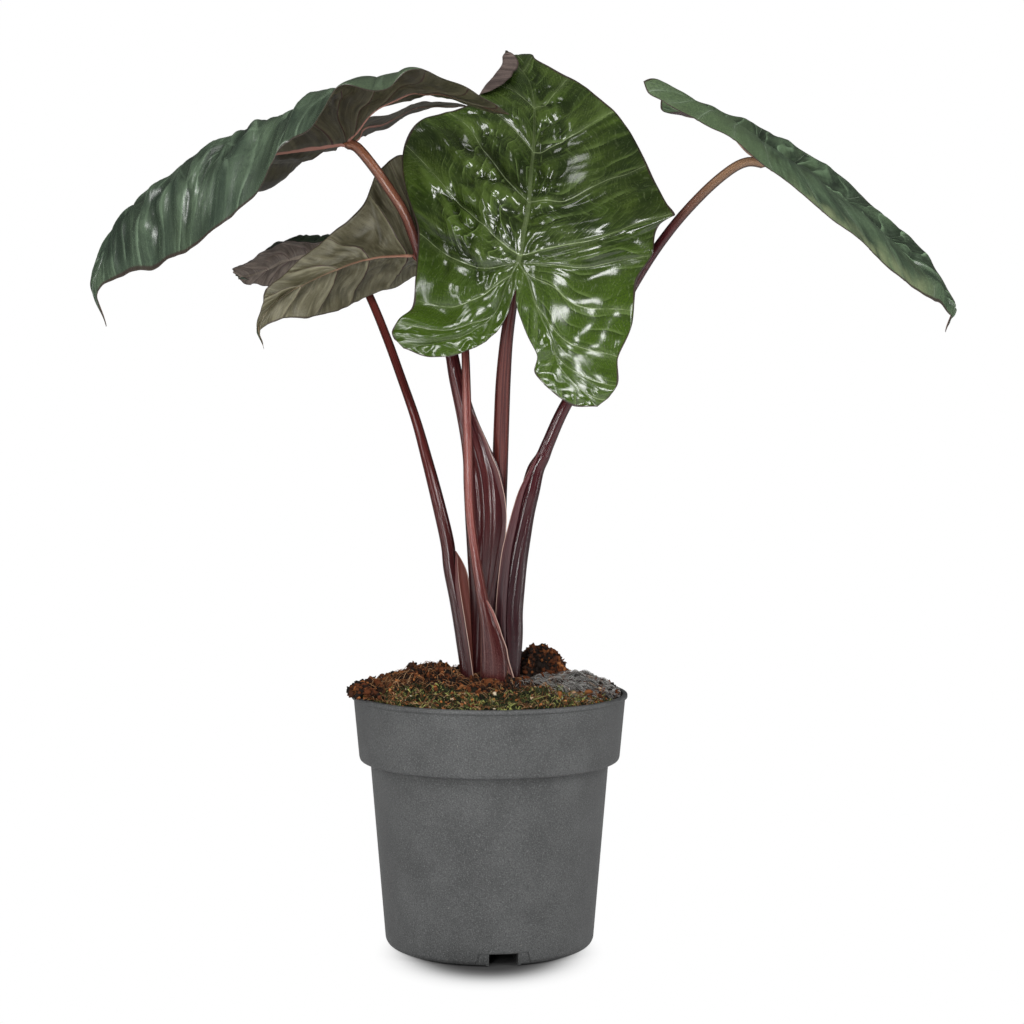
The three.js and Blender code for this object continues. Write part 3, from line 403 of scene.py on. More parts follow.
class LeafSettings(bpy.types.PropertyGroup):
    """Sizes that all five blades share."""

    thickness: FloatProperty(
        name="Thickness", description="Blade thickness between the veins",
        default=0.0007, unit="LENGTH")
    quilt: FloatProperty(
        name="Quilting", description="How far the blade swells between side veins",
        default=0.0026, unit="LENGTH")
    cross_ridge: FloatProperty(
        name="Cross Ridges", description="Height of the ridges between side veins",
        default=0.00042, unit="LENGTH")
    cross_pitch: FloatProperty(
        name="Cross Ridge Pitch", description="Distance from ridge to ridge",
        default=0.0082, unit="LENGTH")
    ruffle: FloatProperty(
        name="Ruffle", description="How far the margin waves",
        default=0.0011, unit="LENGTH")
    midrib: FloatProperty(
        name="Midrib", description="How far the midrib stands out below at the joint",
        default=0.0021, unit="LENGTH")
    margin_colour: FloatVectorProperty(
        name="Margin", description="Colour of the thin margin line",
        subtype="COLOR", size=4, default=paint(58, 46, 42))


class StalkSettings(bpy.types.PropertyGroup):
    """Sizes and colours that the stalks and their sheaths share."""

    sides: IntProperty(name="Sides", description="Corners round each stalk", default=44, min=12)
    step: FloatProperty(
        name="Step", description="Distance between rings along a stalk",
        default=0.002, unit="LENGTH")
    sheath_thickness: FloatProperty(
        name="Sheath Thickness", description="Thickness of a sheath's margin",
        default=0.0009, unit="LENGTH")
    speck_colour: FloatVectorProperty(
        name="Specks", description="Colour of the dark specks",
        subtype="COLOR", size=4, default=paint(58, 26, 26))
    pale_margin: FloatVectorProperty(
        name="Pale Margin", description="Colour of a sheath's pale edge",
        subtype="COLOR", size=4, default=paint(196, 164, 150))
    dry_margin: FloatVectorProperty(
        name="Dry Margin", description="Colour of a sheath's dry back",
        subtype="COLOR", size=4, default=paint(112, 46, 27))


class PotSettings(bpy.types.PropertyGroup):
    """Sizes and colours of the grower's pot."""

    rim_radius: FloatProperty(
        name="Rim Radius", description="Outside radius of the lip",
        default=0.0851, unit="LENGTH")
    height: FloatProperty(name="Height", description="Height of the pot", default=0.153, unit="LENGTH")
    wall: FloatProperty(name="Wall", description="Wall thickness", default=0.0015, unit="LENGTH")
    sides: IntProperty(name="Sides", description="Corners round the pot", default=192, min=24)
    plastic: FloatVectorProperty(
        name="Plastic", description="Colour of the plastic",
        subtype="COLOR", size=4, default=paint(83, 84, 84))
    dust: FloatVectorProperty(
        name="Dust", description="Colour of dust and scuffs",
        subtype="COLOR", size=4, default=paint(138, 136, 130))


class SoilSettings(bpy.types.PropertyGroup):
    """Amounts and colours of what the pot is filled with."""

    crumbs: IntProperty(name="Crumbs", description="Crumbs of coir lying on the soil", default=6400, min=0)
    clump_crumbs: IntProperty(
        name="Clump Crumbs", description="Crumbs on the sides of the clump at the back", default=600, min=0)
    spilled: IntProperty(
        name="Spilled Crumbs", description="Crumbs lying on the rim at the left",
        default=460, min=0)
    fibres: IntProperty(name="Fibres", description="Short coir fibres", default=1900, min=0)
    threads: IntProperty(name="Threads", description="Long grey threads of the web", default=850, min=0)
    moss: IntProperty(name="Moss", description="Moss shoots", default=5200, min=0)
    chips: IntProperty(name="Chips", description="Bark chips and pale grains", default=420, min=0)
    peat: FloatVectorProperty(
        name="Peat", description="Colour of the peat in the hollows",
        subtype="COLOR", size=4, default=paint(22, 14, 9))
    coir: FloatVectorProperty(
        name="Coir", description="Colour of the coir",
        subtype="COLOR", size=4, default=paint(88, 45, 19))
    web: FloatVectorProperty(
        name="Web", description="Colour of the grey web",
        subtype="COLOR", size=4, default=paint(132, 129, 125))
    green: FloatVectorProperty(
        name="Moss Green", description="Colour of the moss",
        subtype="COLOR", size=4, default=paint(56, 64, 34))


class StageSettings(bpy.types.PropertyGroup):
    """The floor and the lights."""

    floor_size: FloatProperty(
        name="Floor", description="Side of the floor",
        default=12.0, unit="LENGTH")
    key_light: FloatProperty(
        name="Key Light", description="Power of the light at the upper left",
        default=6.5, unit="POWER")
    fill_light: FloatProperty(
        name="Fill Light", description="Power of the light at the right",
        default=8.5, unit="POWER")
    front_light: FloatProperty(
        name="Front Light", description="Power of the light above the camera",
        default=7.0, unit="POWER")
    top_light: FloatProperty(
        name="Top Light", description="Power of the light over the plant",
        default=0.8, unit="POWER")
    low_light: FloatProperty(
        name="Low Light", description="Power of the narrow light in front, level with the stalks",
        default=5.0, unit="POWER")
    left_strip: FloatProperty(
        name="Left Strip", description="Power of the tall light at the left", default=3.5, unit="POWER")
    right_strip: FloatProperty(
        name="Right Strip", description="Power of the tall light at the right", default=3.15, unit="POWER")
    surround: FloatProperty(
        name="Surround", description="Strength of the even white light",
        default=0.24)
    mirrored: FloatProperty(
        name="Mirrored Surround", description="Strength of the even light in reflections",
        default=0.06)


# Numbers


def catmull(rows, places):
    """A smooth curve through rows of numbers, read at row numbers that need not be whole."""
    rows = np.asarray(rows, float)
    places = np.asarray(places, float)
    last = len(rows) - 1
    start = np.clip(np.floor(places).astype(int), 0, last - 1)
    f = (places - start)[:, None]
    before = rows[np.maximum(start - 1, 0)]
    begin = rows[start]
    end = rows[start + 1]
    after = rows[np.minimum(start + 2, last)]
    return 0.5 * (
        2 * begin + (end - before) * f + (2 * before - 5 * begin + 4 * end - after) * f**2
        + (3 * begin - before - 3 * end + after) * f**3
    )


def sighted(places):
    """Across, up and depth, in millimetres, turned into the part's own X, Y and Z."""
    across, up, depth = np.asarray(places, float).T
    reach = 1 + depth / EYE_DISTANCE
    return np.stack([across * reach, depth, EYE_HEIGHT + (up - EYE_HEIGHT) * reach], 1)


def unit(vectors):
    """Vectors of length 1, and none where there was none."""
    length = np.linalg.norm(vectors, axis=-1, keepdims=True)
    return vectors / np.maximum(length, 1e-9)


def lumps(across, along, size, seed):
    """Smooth random heights from -1 to 1 over a plane, in lumps of the given size."""
    cells = 64
    lattice = np.random.default_rng(seed).uniform(-1, 1, (cells, cells))
    x = across / size + cells / 2
    y = along / size + cells / 2
    i = np.floor(x).astype(int)
    j = np.floor(y).astype(int)
    fx = x - i
    fy = y - j
    fx = fx * fx * (3 - 2 * fx)
    fy = fy * fy * (3 - 2 * fy)
    near = lattice[i % cells, j % cells] * (1 - fx) + lattice[(i + 1) % cells, j % cells] * fx
    far = lattice[i % cells, (j + 1) % cells] * (1 - fx) + lattice[(i + 1) % cells, (j + 1) % cells] * fx
    return near * (1 - fy) + far * fy


# Pieces


def make_piece(name, points, triangles, materials, values=None, face_slots=None):
    """A mesh object from points in millimetres, with named values on its points, riding on the part."""
    mesh = bpy.data.meshes.new(name)
    mesh.from_pydata((np.asarray(points) * MM).tolist(), [], np.asarray(triangles).tolist())
    for key, numbers in (values or {}).items():
        vector = numbers.ndim == 2
        layer = mesh.attributes.new(key, "FLOAT_VECTOR" if vector else "FLOAT", "POINT")
        layer.data.foreach_set("vector" if vector else "value", numbers.astype(np.float32).ravel())
    for material in materials:
        mesh.materials.append(material)
    if face_slots is not None:
        mesh.polygons.foreach_set("material_index", np.asarray(face_slots, np.int32))
    mesh.shade_smooth()
    mesh.update()
    piece = bpy.data.objects.new(name, mesh)
    bpy.context.scene.collection.objects.link(piece)
    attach(piece, "root")
    return piece


def with_area(triangles):
    """The triangles that have three different corners."""
    a, b, c = triangles.T
    return triangles[(a != b) & (b != c) & (c != a)]


def grid_triangles(numbers):
    """Two triangles for each cell of a grid of point numbers, leaving out those with no area."""
    a = numbers[:-1, :-1].ravel()
    b = numbers[:-1, 1:].ravel()
    c = numbers[1:, 1:].ravel()
    d = numbers[1:, :-1].ravel()
    return with_area(np.concatenate([np.stack([a, b, c], 1), np.stack([a, c, d], 1)]))


def loft_triangles(rings, sides):
    """The skin of a closed tube of rings, with a fan over each end from the ring's own first point."""
    numbers = np.arange(rings * sides).reshape(rings, sides)
    skin = grid_triangles(np.concatenate([numbers, numbers[:, :1]], 1))
    k = np.arange(1, sides - 1)
    foot = np.stack([np.zeros_like(k), k + 1, k], 1)
    top = np.stack([np.zeros_like(k), k, k + 1], 1) + (rings - 1) * sides
    return np.concatenate([skin, foot, top])


def ring_angles(sides):
    return np.arange(sides) / sides * 2 * np.pi


def travelled(path):
    """How far along the path each of its points lies."""
    return np.concatenate([[0], np.cumsum(np.linalg.norm(np.diff(path, axis=0), axis=1))])


def stem_places(wide, deep, lengths):
    """For the points of a tube, the direction round it, wide and deep, and the length along it."""
    shape = (len(lengths), len(wide))
    parts = [np.broadcast_to(part, shape) for part in (wide, deep, lengths[:, None])]
    return np.stack(parts, -1).reshape(-1, 3)


# Nodes


def wire(tree, sockets, values):
    """Wires each of the named sockets to another socket, or sets its value."""
    for key, value in values.items():
        if isinstance(value, bpy.types.NodeSocket):
            tree.links.new(value, sockets[key])
        else:
            sockets[key].default_value = value


def node(tree, kind, inputs=None, **settings):
    """A new node with its settings, each input wired to a socket or set to a value."""
    new = tree.nodes.new(kind)
    for key, value in settings.items():
        setattr(new, key, value)
    wire(tree, new.inputs, inputs or {})
    return new


def maths(tree, operation, first, second=0.0, third=0.0):
    return node(tree, "ShaderNodeMath", {0: first, 1: second, 2: third}, operation=operation).outputs[0]


def plus(tree, first, second):
    return maths(tree, "ADD", first, second)


def times(tree, product, *factors):
    for factor in factors:
        product = maths(tree, "MULTIPLY", product, factor)
    return product


def fade(tree, value, start, end, low=0.0, high=1.0):
    """A smooth change from low to high while value goes from start to end."""
    return node(
        tree, "ShaderNodeMapRange", {0: value, 1: start, 2: end, 3: low, 4: high},
        interpolation_type="SMOOTHSTEP",
    ).outputs[0]


def mixed(tree, share, first, second):
    return node(tree, "ShaderNodeMix", {0: share, 6: first, 7: second}, data_type="RGBA").outputs[2]


def layered(tree, colour, layers):
    """A colour with others laid over it in turn, each by its own share."""
    for share, over in layers:
        colour = mixed(tree, share, colour, over)
    return colour


def toned(colour, strength, lift=0.0):
    """A colour made darker or, by a strength over 1, paler."""
    return (*(min(1.0, c * strength + lift) for c in colour[:3]), 1.0)


def attribute(tree, name, output="Fac"):
    return node(tree, "ShaderNodeAttribute", attribute_name=name).outputs[output]


def axes(tree, vector):
    """The three numbers of a vector."""
    return node(tree, "ShaderNodeSeparateXYZ", {0: vector}).outputs


def noise(tree, place, scale, detail=2.0, roughness=0.5):
    return node(tree, "ShaderNodeTexNoise", {
        "Vector": place, "Scale": scale, "Detail": detail, "Roughness": roughness,
    }).outputs["Fac"]


def speckle(tree, place, size, detail=2.0):
    """Noise with lumps of about the given size, in the units of the place."""
    return noise(tree, place, 1 / size, detail)


def bumped(tree, height, distance, strength):
    """The normal over small heights, whose distance is in metres."""
    inputs = {"Height": height, "Distance": distance, "Strength": strength}
    return node(tree, "ShaderNodeBump", inputs).outputs[0]


def new_group(name, inputs, outputs):
    """An empty shader group, with what goes into it and what it has to put out. An input without a
    default is a vector, one with a default of four numbers is a colour, and the rest are numbers."""
    tree = bpy.data.node_groups.new(name, "ShaderNodeTree")
    for title, default in inputs.items():
        kind = "Vector" if default is None else "Color" if isinstance(default, tuple) else "Float"
        socket = tree.interface.new_socket(title, in_out="INPUT", socket_type=f"NodeSocket{kind}")
        if default is not None:
            socket.default_value = default
    for title in outputs:
        kind = "Color" if title == "Color" else "Float"
        tree.interface.new_socket(title, in_out="OUTPUT", socket_type=f"NodeSocket{kind}")
    return tree, tree.nodes.new("NodeGroupInput").outputs, tree.nodes.new("NodeGroupOutput").inputs


def grouped(tree, name, inputs):
    """One use of a shader group, its inputs wired or set."""
    return node(tree, "ShaderNodeGroup", inputs, node_tree=bpy.data.node_groups[name]).outputs


def new_material(name):
    """A material with a Principled shader, with its tree and the shader's inputs."""
    material = bpy.data.materials.new(name)
    material.use_nodes = True
    tree = material.node_tree
    return material, tree, tree.nodes["Principled BSDF"].inputs


# Shader groups


def build_vein_group():
    """Masks of veins, margin and fine net over a blade, from distances in millimetres."""
    tree, given, wanted = new_group(
        "Leaf Veins",
        {
            "Place": None, "Weave": None, "Vein Distance": 9.0, "Rib Distance": 9.0,
            "Rim Distance": 9.0, "Cross Phase": 0.0, "Vein Width": 0.8, "Rib Width": 2.0,
        },
        ["Vein", "Rib", "Rim", "Net", "Mottle", "Grain", "Streak"],
    )
    place = given["Place"]
    stray = maths(tree, "MULTIPLY_ADD", speckle(tree, place, 7.0), 0.8, -0.4)
    vein = maths(tree, "ABSOLUTE", plus(tree, given["Vein Distance"], stray))
    vein_edge = times(tree, given["Vein Width"], fade(tree, given["Rim Distance"], 2.0, 60.0, 0.35, 1.0))
    net_stray = times(tree, speckle(tree, place, 5.0), 0.9)
    phase = maths(tree, "FRACT", plus(tree, times(tree, given["Cross Phase"], 3.0), net_stray))
    line = fade(tree, maths(tree, "ABSOLUTE", maths(tree, "SUBTRACT", phase, 0.5)), 0.16, 0.02)
    wire(tree, wanted, {
        "Vein": fade(tree, vein, vein_edge, times(tree, vein_edge, 0.3)),
        "Rib": fade(tree, given["Rib Distance"], given["Rib Width"], times(tree, given["Rib Width"], 0.75)),
        "Rim": fade(tree, given["Rim Distance"], 0.9, 0.35),
        "Net": times(tree, line, fade(tree, speckle(tree, place, 3.0), 0.4, 0.6)),
        "Mottle": speckle(tree, place, 26.0, 3.0),
        "Grain": speckle(tree, place, 1.1, 3.0),
        "Streak": speckle(tree, given["Weave"], 1.7, 4.0),
    })


def build_stripe_group():
    """Fine stripes along a stem, dark specks and a grain. The stem's place is a direction round it,
    and the length along it in millimetres."""
    tree, given, wanted = new_group(
        "Stem Stripes", {"Stem": None, "Fineness": 5.0, "Speck Size": 0.5}, ["Stripe", "Speck", "Grain"])
    x, y, along = axes(tree, given["Stem"])

    def drawn_out(across, lengthwise):
        return node(tree, "ShaderNodeCombineXYZ", {
            0: times(tree, x, across), 1: times(tree, y, across), 2: times(tree, along, lengthwise),
        }).outputs[0]

    stripes = noise(tree, drawn_out(given["Fineness"], 0.012), 1.0, 3.0, 0.6)
    dabbed = drawn_out(3.0, 0.32)
    specks = noise(tree, dabbed, 2.4, 4.0, 0.72)
    limit = maths(tree, "SUBTRACT", 0.72, times(tree, given["Speck Size"], 0.16))
    wire(tree, wanted, {
        "Stripe": fade(tree, stripes, 0.42, 0.66),
        "Speck": fade(tree, specks, limit, plus(tree, limit, 0.05)),
        "Grain": speckle(tree, dabbed, 0.12),
    })


def build_wear_group():
    """Grain, cloudy mottle and rare pale scuffs on moulded plastic."""
    tree, given, wanted = new_group(
        "Plastic Wear", {"Place": None, "Grain Size": 0.6, "Scuffs": 0.5}, ["Grain", "Cloud", "Scuff"])
    limit = maths(tree, "SUBTRACT", 0.78, times(tree, given["Scuffs"], 0.12))
    dots = speckle(tree, given["Place"], 2.2, 5.0)
    wire(tree, wanted, {
        "Grain": noise(tree, given["Place"], maths(tree, "DIVIDE", 1.0, given["Grain Size"])),
        "Cloud": speckle(tree, given["Place"], 24.0, 4.0),
        "Scuff": fade(tree, dots, limit, plus(tree, limit, 0.05)),
    })


def build_earth_group():
    """A colour for crumbs and fibres from their own shade, with darker and paler grains on it."""
    tree, given, wanted = new_group(
        "Earth Tint",
        {
            "Place": None, "Shade": 0.5, "Dark": (0.02, 0.01, 0.005, 1), "Middle": (0.1, 0.05, 0.02, 1),
            "Pale": (0.3, 0.2, 0.1, 1), "Grain Size": 0.5,
        },
        ["Color", "Grain"],
    )
    grain = noise(tree, given["Place"], maths(tree, "DIVIDE", 1.0, given["Grain Size"]), 3.0)
    shade = plus(tree, given["Shade"], maths(tree, "MULTIPLY_ADD", grain, 0.5, -0.25))
    tint = layered(tree, given["Dark"], [
        (fade(tree, shade, 0.0, 0.5), given["Middle"]), (fade(tree, shade, 0.55, 1.0), given["Pale"]),
    ])
    wire(tree, wanted, {"Color": tint, "Grain": grain})


# Materials. Distances over a blade or along a stem are in millimetres, and shares go from 0 to 1


def place_in_mm(tree):
    """The place on the part in millimetres, which moves with it."""
    coordinates = tree.nodes.new("ShaderNodeTexCoord").outputs["Object"]
    return node(tree, "ShaderNodeVectorMath", {0: coordinates, 3: 1 / MM}, operation="SCALE").outputs[0]


def leaf_masks(tree, vein_width, rib_width):
    return grouped(tree, "Leaf Veins", {
        "Place": attribute(tree, "flat", "Vector"),
        "Weave": attribute(tree, "weave", "Vector"),
        "Vein Distance": attribute(tree, "vein"),
        "Rib Distance": attribute(tree, "rib"),
        "Rim Distance": attribute(tree, "rim"),
        "Cross Phase": attribute(tree, "cross"),
        "Vein Width": vein_width,
        "Rib Width": rib_width,
    })


# How much paler a painted crest highlight is than the light green round it
CREST_HIGHLIGHT = 1.7

# The fine lines of painted highlight and painted shade on the upper face's ridges: their setting, the phase
# that they follow, the size of their patches, and from which line they keep how far
PAINTED_RIDGE_LINES = [("pleats", "pleat", 17.0, "rib", 4.0), ("rungs", "cross", 11.0, "vein", 1.2)]


def upper_green(tree, leaf, masks):
    """The upper face's green, yellower in the lobes, with painted shade in its hollows, painted highlights
    on its crests, and painted highlight and shade along the streaks that run with the side veins."""
    deep, light, lobe = leaf["upper"]
    flat = attribute(tree, "flat", "Vector")
    along = axes(tree, flat)[1]
    dip = attribute(tree, "dip")
    patches = fade(tree, speckle(tree, flat, 45.0), 0.45, 0.75, 0.0, 0.6)
    streaked = fade(tree, along, 10.0, -25.0, leaf["streak"], leaf["streak"] * 0.4)
    return layered(tree, deep, [
        (fade(tree, masks["Mottle"], 0.35, 0.65), light),
        (maths(tree, "MAXIMUM", fade(tree, along, 15.0, -55.0, 0.0, 0.85), patches), lobe),
        (fade(tree, attribute(tree, "vein"), 4.0, 0.4, 0.0, 0.16), leaf["vein"]),
        (times(tree, masks["Net"], 0.24), leaf["vein"]),
        (fade(tree, masks["Grain"], 0.4, 0.65, 0.0, 0.55), deep),
        # painted shade in the relief's hollows, then painted highlight on its crests
        (fade(tree, dip, 0.2, -1.2, 0.0, 0.62), toned(deep, 0.35)),
        (fade(tree, dip, 0.5, 2.2, 0.0, 0.5), toned(light, CREST_HIGHLIGHT)),
        # painted highlight and painted shade on the rises and falls of the streaks' bump
        (times(tree, fade(tree, masks["Streak"], 0.52, 0.72), streaked), toned(light, CREST_HIGHLIGHT)),
        (times(tree, fade(tree, masks["Streak"], 0.48, 0.3), streaked), toned(deep, 0.5)),
    ])


def painted_ridge_lines(tree, green, leaf, masks):
    """Green with thin painted highlights on the crests and painted shade in the hollows of the fine ridges,
    along the side veins and across them.
    """
    deep, light, _ = leaf["upper"]
    flat = attribute(tree, "flat", "Vector")
    across, along, _ = axes(tree, flat)
    for key, source, patch, edge, clear in PAINTED_RIDGE_LINES:
        right_share, left_share = leaf[key]
        strength = times(
            tree, fade(tree, across, -12.0, 12.0, left_share, right_share),
            fade(tree, speckle(tree, flat, patch), 0.4, 0.6, 0.1, 1.0),
            fade(tree, attribute(tree, edge), clear, clear * 4),
        )
        if key == "rungs":
            off_rim = fade(tree, attribute(tree, "rim"), 8.0, 30.0)
            strength = times(tree, strength, off_rim, fade(tree, along, -25.0, 15.0, 0.2, 1.0))
        phase = maths(tree, "MULTIPLY_ADD", masks["Grain"], 0.09, attribute(tree, source))
        phase = maths(tree, "FRACT", phase)
        # painted shade in each fine ridge's hollow, then painted highlight on its crest
        green = layered(tree, green, [
            (times(tree, fade(tree, phase, 0.42, 0.02), strength), toned(deep, 0.42)),
            (times(tree, fade(tree, phase, 0.8, 0.97), strength), toned(light, 2.2, 0.03)),
        ])
    return green


def painted_half_light(tree, green, leaf):
    """Green with a painted highlight along the right half's rim, and painted shade over the left half and in
    its furrows, with painted highlights on its ridges.
    """
    deep, light, _ = leaf["upper"]
    flat = attribute(tree, "flat", "Vector")
    across, along, _ = axes(tree, flat)
    right_half = fade(tree, across, 10.0, 30.0)
    left_half = maths(tree, "SUBTRACT", 1.0, right_half)
    # painted highlight along the right half's rim
    rim = times(
        tree, fade(tree, attribute(tree, "rim"), 15.0, 3.0, 0.0, 0.7), right_half,
        fade(tree, along, 5.0, 30.0, 0.1, 1.0), fade(tree, speckle(tree, flat, 16.0, 3.0), 0.35, 0.65),
    )
    # painted shade in the left half's furrows and over the whole left half, painted highlights on its ridges
    furrow_shade = fade(tree, attribute(tree, "vein"), 2.5, 0.4, 0.0, 0.3)
    ridge = fade(tree, attribute(tree, "dip"), 0.8, 2.4, 0.0, 0.3)
    return layered(tree, green, [
        (times(tree, furrow_shade, left_half), toned(deep, 0.3)),
        (rim, leaf["painted_rim_highlight"]),
        (times(tree, left_half, 0.12), toned(deep, 0.4)),
        (times(tree, ridge, left_half), toned(light, CREST_HIGHLIGHT)),
    ])


def upper_material(name, leaf, settings):
    """The glossy green upper face, with pale impressed veins, a thin margin line, and painted highlight and
    shade on its relief.
    """
    material, tree, shader = new_material(f"leaf_{name}_upper")
    masks = leaf_masks(tree, 0.6, 2.3)
    green = painted_ridge_lines(tree, upper_green(tree, leaf, masks), leaf, masks)
    # painted highlight and shade on the two halves of the blade
    if "painted_rim_highlight" in leaf:
        green = painted_half_light(tree, green, leaf)
    green = layered(tree, green, [
        (times(tree, masks["Vein"], 0.75), leaf["vein"]),
        (times(tree, masks["Rib"], 0.3), leaf["vein"]),
        (times(tree, masks["Rim"], 0.85), settings.margin_colour[:]),
    ])
    along = axes(tree, attribute(tree, "flat", "Vector"))[1]
    rough = plus(tree, times(tree, masks["Mottle"], 0.06), times(tree, masks["Grain"], 0.08))
    rough = maths(tree, "MULTIPLY_ADD", fade(tree, along, 5.0, -40.0), 0.03, rough)
    height = plus(tree, times(tree, masks["Net"], -0.3), times(tree, masks["Grain"], 0.3))
    streaks = times(tree, masks["Streak"], fade(tree, along, 10.0, -25.0, 1.6, 0.2))
    wire(tree, shader, {
        "Base Color": green, "Roughness": plus(tree, rough, leaf["gloss"]), "Specular IOR Level": 0.6,
        "Normal": bumped(tree, plus(tree, streaks, height), 0.0003, leaf["bump"]),
    })
    return material


def under_material(name, leaf, settings):
    """The satin underside, dull brown to purple, with darker veins and a paler, pinkish rib, painted shade
    in its hollows, painted highlight and shade along its streaks, and painted highlights beside the veins.
    """
    material, tree, shader = new_material(f"leaf_{name}_under")
    masks = leaf_masks(tree, 0.85, 2.3)
    dark, light, vein = leaf["under"]
    off_joint = maths(tree, "ABSOLUTE", axes(tree, attribute(tree, "flat", "Vector"))[1])
    skin = layered(tree, dark, [
        (fade(tree, masks["Mottle"], 0.3, 0.7), light),
        (times(tree, masks["Net"], 0.28), vein),
        (fade(tree, masks["Grain"], 0.35, 0.7, 0.0, 0.35), dark),
        # painted shade in the hollows of the relief
        (fade(tree, attribute(tree, "dip"), -0.2, 1.2, 0.0, 0.5), toned(dark, 0.45)),
        # painted highlight and painted shade on the rises and falls of the streaks' bump
        (fade(tree, masks["Streak"], 0.5, 0.7, 0.0, 0.6), toned(light, 1.3)),
        (fade(tree, masks["Streak"], 0.48, 0.3, 0.0, 0.6), toned(dark, 0.5)),
        # painted highlight on the raised ridges beside the veins
        (fade(tree, attribute(tree, "vein"), 3.2, 1.0, 0.0, 0.4), toned(light, 1.5)),
        (times(tree, masks["Vein"], 0.95), vein),
        (times(tree, masks["Rib"], fade(tree, off_joint, 110.0, 15.0, 0.25, 0.95)), leaf["under_rib"]),
        (times(tree, masks["Rim"], 0.7), settings.margin_colour[:]),
    ])
    height = plus(tree, times(tree, masks["Net"], 0.6), times(tree, masks["Grain"], 0.4))
    height = maths(tree, "MULTIPLY_ADD", masks["Streak"], 1.4, height)
    wire(tree, shader, {
        "Base Color": skin, "Roughness": maths(tree, "MULTIPLY_ADD", masks["Grain"], 0.2, 0.36),
        "Specular IOR Level": 0.4, "Normal": bumped(tree, height, 0.00025, 0.4),
    })
    return material


def stem_masks(tree, fineness, speck_size):
    stem = attribute(tree, "stem", "Vector")
    return grouped(tree, "Stem Stripes", {"Stem": stem, "Fineness": fineness, "Speck Size": speck_size})


def stalk_material(name, stalk, settings):
    """A satin skin that changes along the stalk, with fine stripes, dark specks and painted shade down its
    flanks.
    """
    material, tree, shader = new_material(f"stalk_{name}_skin")
    masks = stem_masks(tree, 5.0, stalk["specks"])
    foot, middle, top, stripe = stalk["skin"]
    share = attribute(tree, "share")
    flank_shade = maths(tree, "ABSOLUTE", axes(tree, attribute(tree, "stem", "Vector"))[0])
    skin = layered(tree, foot, [
        (fade(tree, share, *stalk["reddens"]), middle),
        (fade(tree, share, *stalk["pale"]), top),
        # painted shade on the stalk's left and right flanks
        (fade(tree, flank_shade, 0.5, 1.0, 0.0, 0.8), toned(foot, 0.35)),
        (times(tree, masks["Stripe"], fade(tree, share, *stalk["reddens"], 0.12, 0.5)), stripe),
        (fade(tree, masks["Stripe"], 0.12, 0.0, 0.0, 0.4), foot),
        (fade(tree, masks["Grain"], 0.5, 0.34, 0.0, 0.55), toned(foot, 0.5)),
        (fade(tree, masks["Grain"], 0.56, 0.72, 0.0, 0.3), stripe),
        (times(tree, masks["Speck"], 0.6), settings.speck_colour[:]),
    ])
    height = plus(tree, times(tree, masks["Stripe"], 0.6), times(tree, masks["Grain"], 0.25))
    wire(tree, shader, {
        "Base Color": skin, "Roughness": maths(tree, "MULTIPLY_ADD", masks["Grain"], 0.12, 0.08),
        "Specular IOR Level": 0.5, "Normal": bumped(tree, height, 0.0002, 0.4),
    })
    return material


def sheath_material(name, stalk, settings, dry):
    """A sheath's free margin: the stalk's skin, going over to a thin pale edge, its back dry or not."""
    material, tree, shader = new_material(f"stalk_{name}_skin")
    masks = stem_masks(tree, 4.0, 0.5)
    foot, middle, _, stripe = stalk["skin"]
    skin = mixed(tree, fade(tree, attribute(tree, "share"), 0.35, 1.1), foot, middle)
    if dry:
        skin = mixed(tree, 0.75, skin, settings.dry_margin[:])
    skin = layered(tree, skin, [
        (times(tree, masks["Stripe"], 0.35), stripe),
        (fade(tree, attribute(tree, "edge"), 0.74, 0.95), settings.pale_margin[:]),
    ])
    wire(tree, shader, {
        "Base Color": skin, "Roughness": maths(tree, "MULTIPLY_ADD", masks["Grain"], 0.2, 0.3),
        "Normal": bumped(tree, masks["Stripe"], 0.00015, 0.5),
    })
    return material


def plastic_material(settings):
    """Mid-grey moulded plastic, finely grained, with cloudy mottle, dust and a few scuffs."""
    material, tree, shader = new_material("pot_plastic")
    masks = grouped(tree, "Plastic Wear", {"Place": place_in_mm(tree), "Grain Size": 0.7, "Scuffs": 0.6})
    plastic = settings.plastic[:]
    grey = layered(tree, toned(plastic, 0.7), [
        (fade(tree, masks["Cloud"], 0.3, 0.7), plastic),
        (fade(tree, masks["Grain"], 0.5, 0.3, 0.0, 0.8), toned(plastic, 0.45)),
        (fade(tree, masks["Grain"], 0.52, 0.72, 0.0, 0.8), toned(plastic, 1.6)),
        (times(tree, masks["Scuff"], 0.55), settings.dust[:]),
    ])
    wire(tree, shader, {
        "Base Color": grey, "Roughness": maths(tree, "MULTIPLY_ADD", masks["Cloud"], 0.16, 0.4),
        "Specular IOR Level": 0.4, "Normal": bumped(tree, masks["Grain"], 0.0003, 0.6),
    })
    return material


def earth_material(name, dark, middle, pale, grain_size):
    """Crumbs, fibres, moss or threads, each tinted by its own shade."""
    material, tree, shader = new_material(name)
    tint = grouped(tree, "Earth Tint", {
        "Place": place_in_mm(tree), "Shade": attribute(tree, "shade"),
        "Dark": dark, "Middle": middle, "Pale": pale, "Grain Size": grain_size,
    })
    wire(tree, shader, {
        "Base Color": tint["Color"], "Roughness": maths(tree, "MULTIPLY_ADD", tint["Grain"], 0.12, 0.79),
        "Specular IOR Level": 0.25, "Normal": bumped(tree, tint["Grain"], 0.0003, 0.6),
    })
    return material


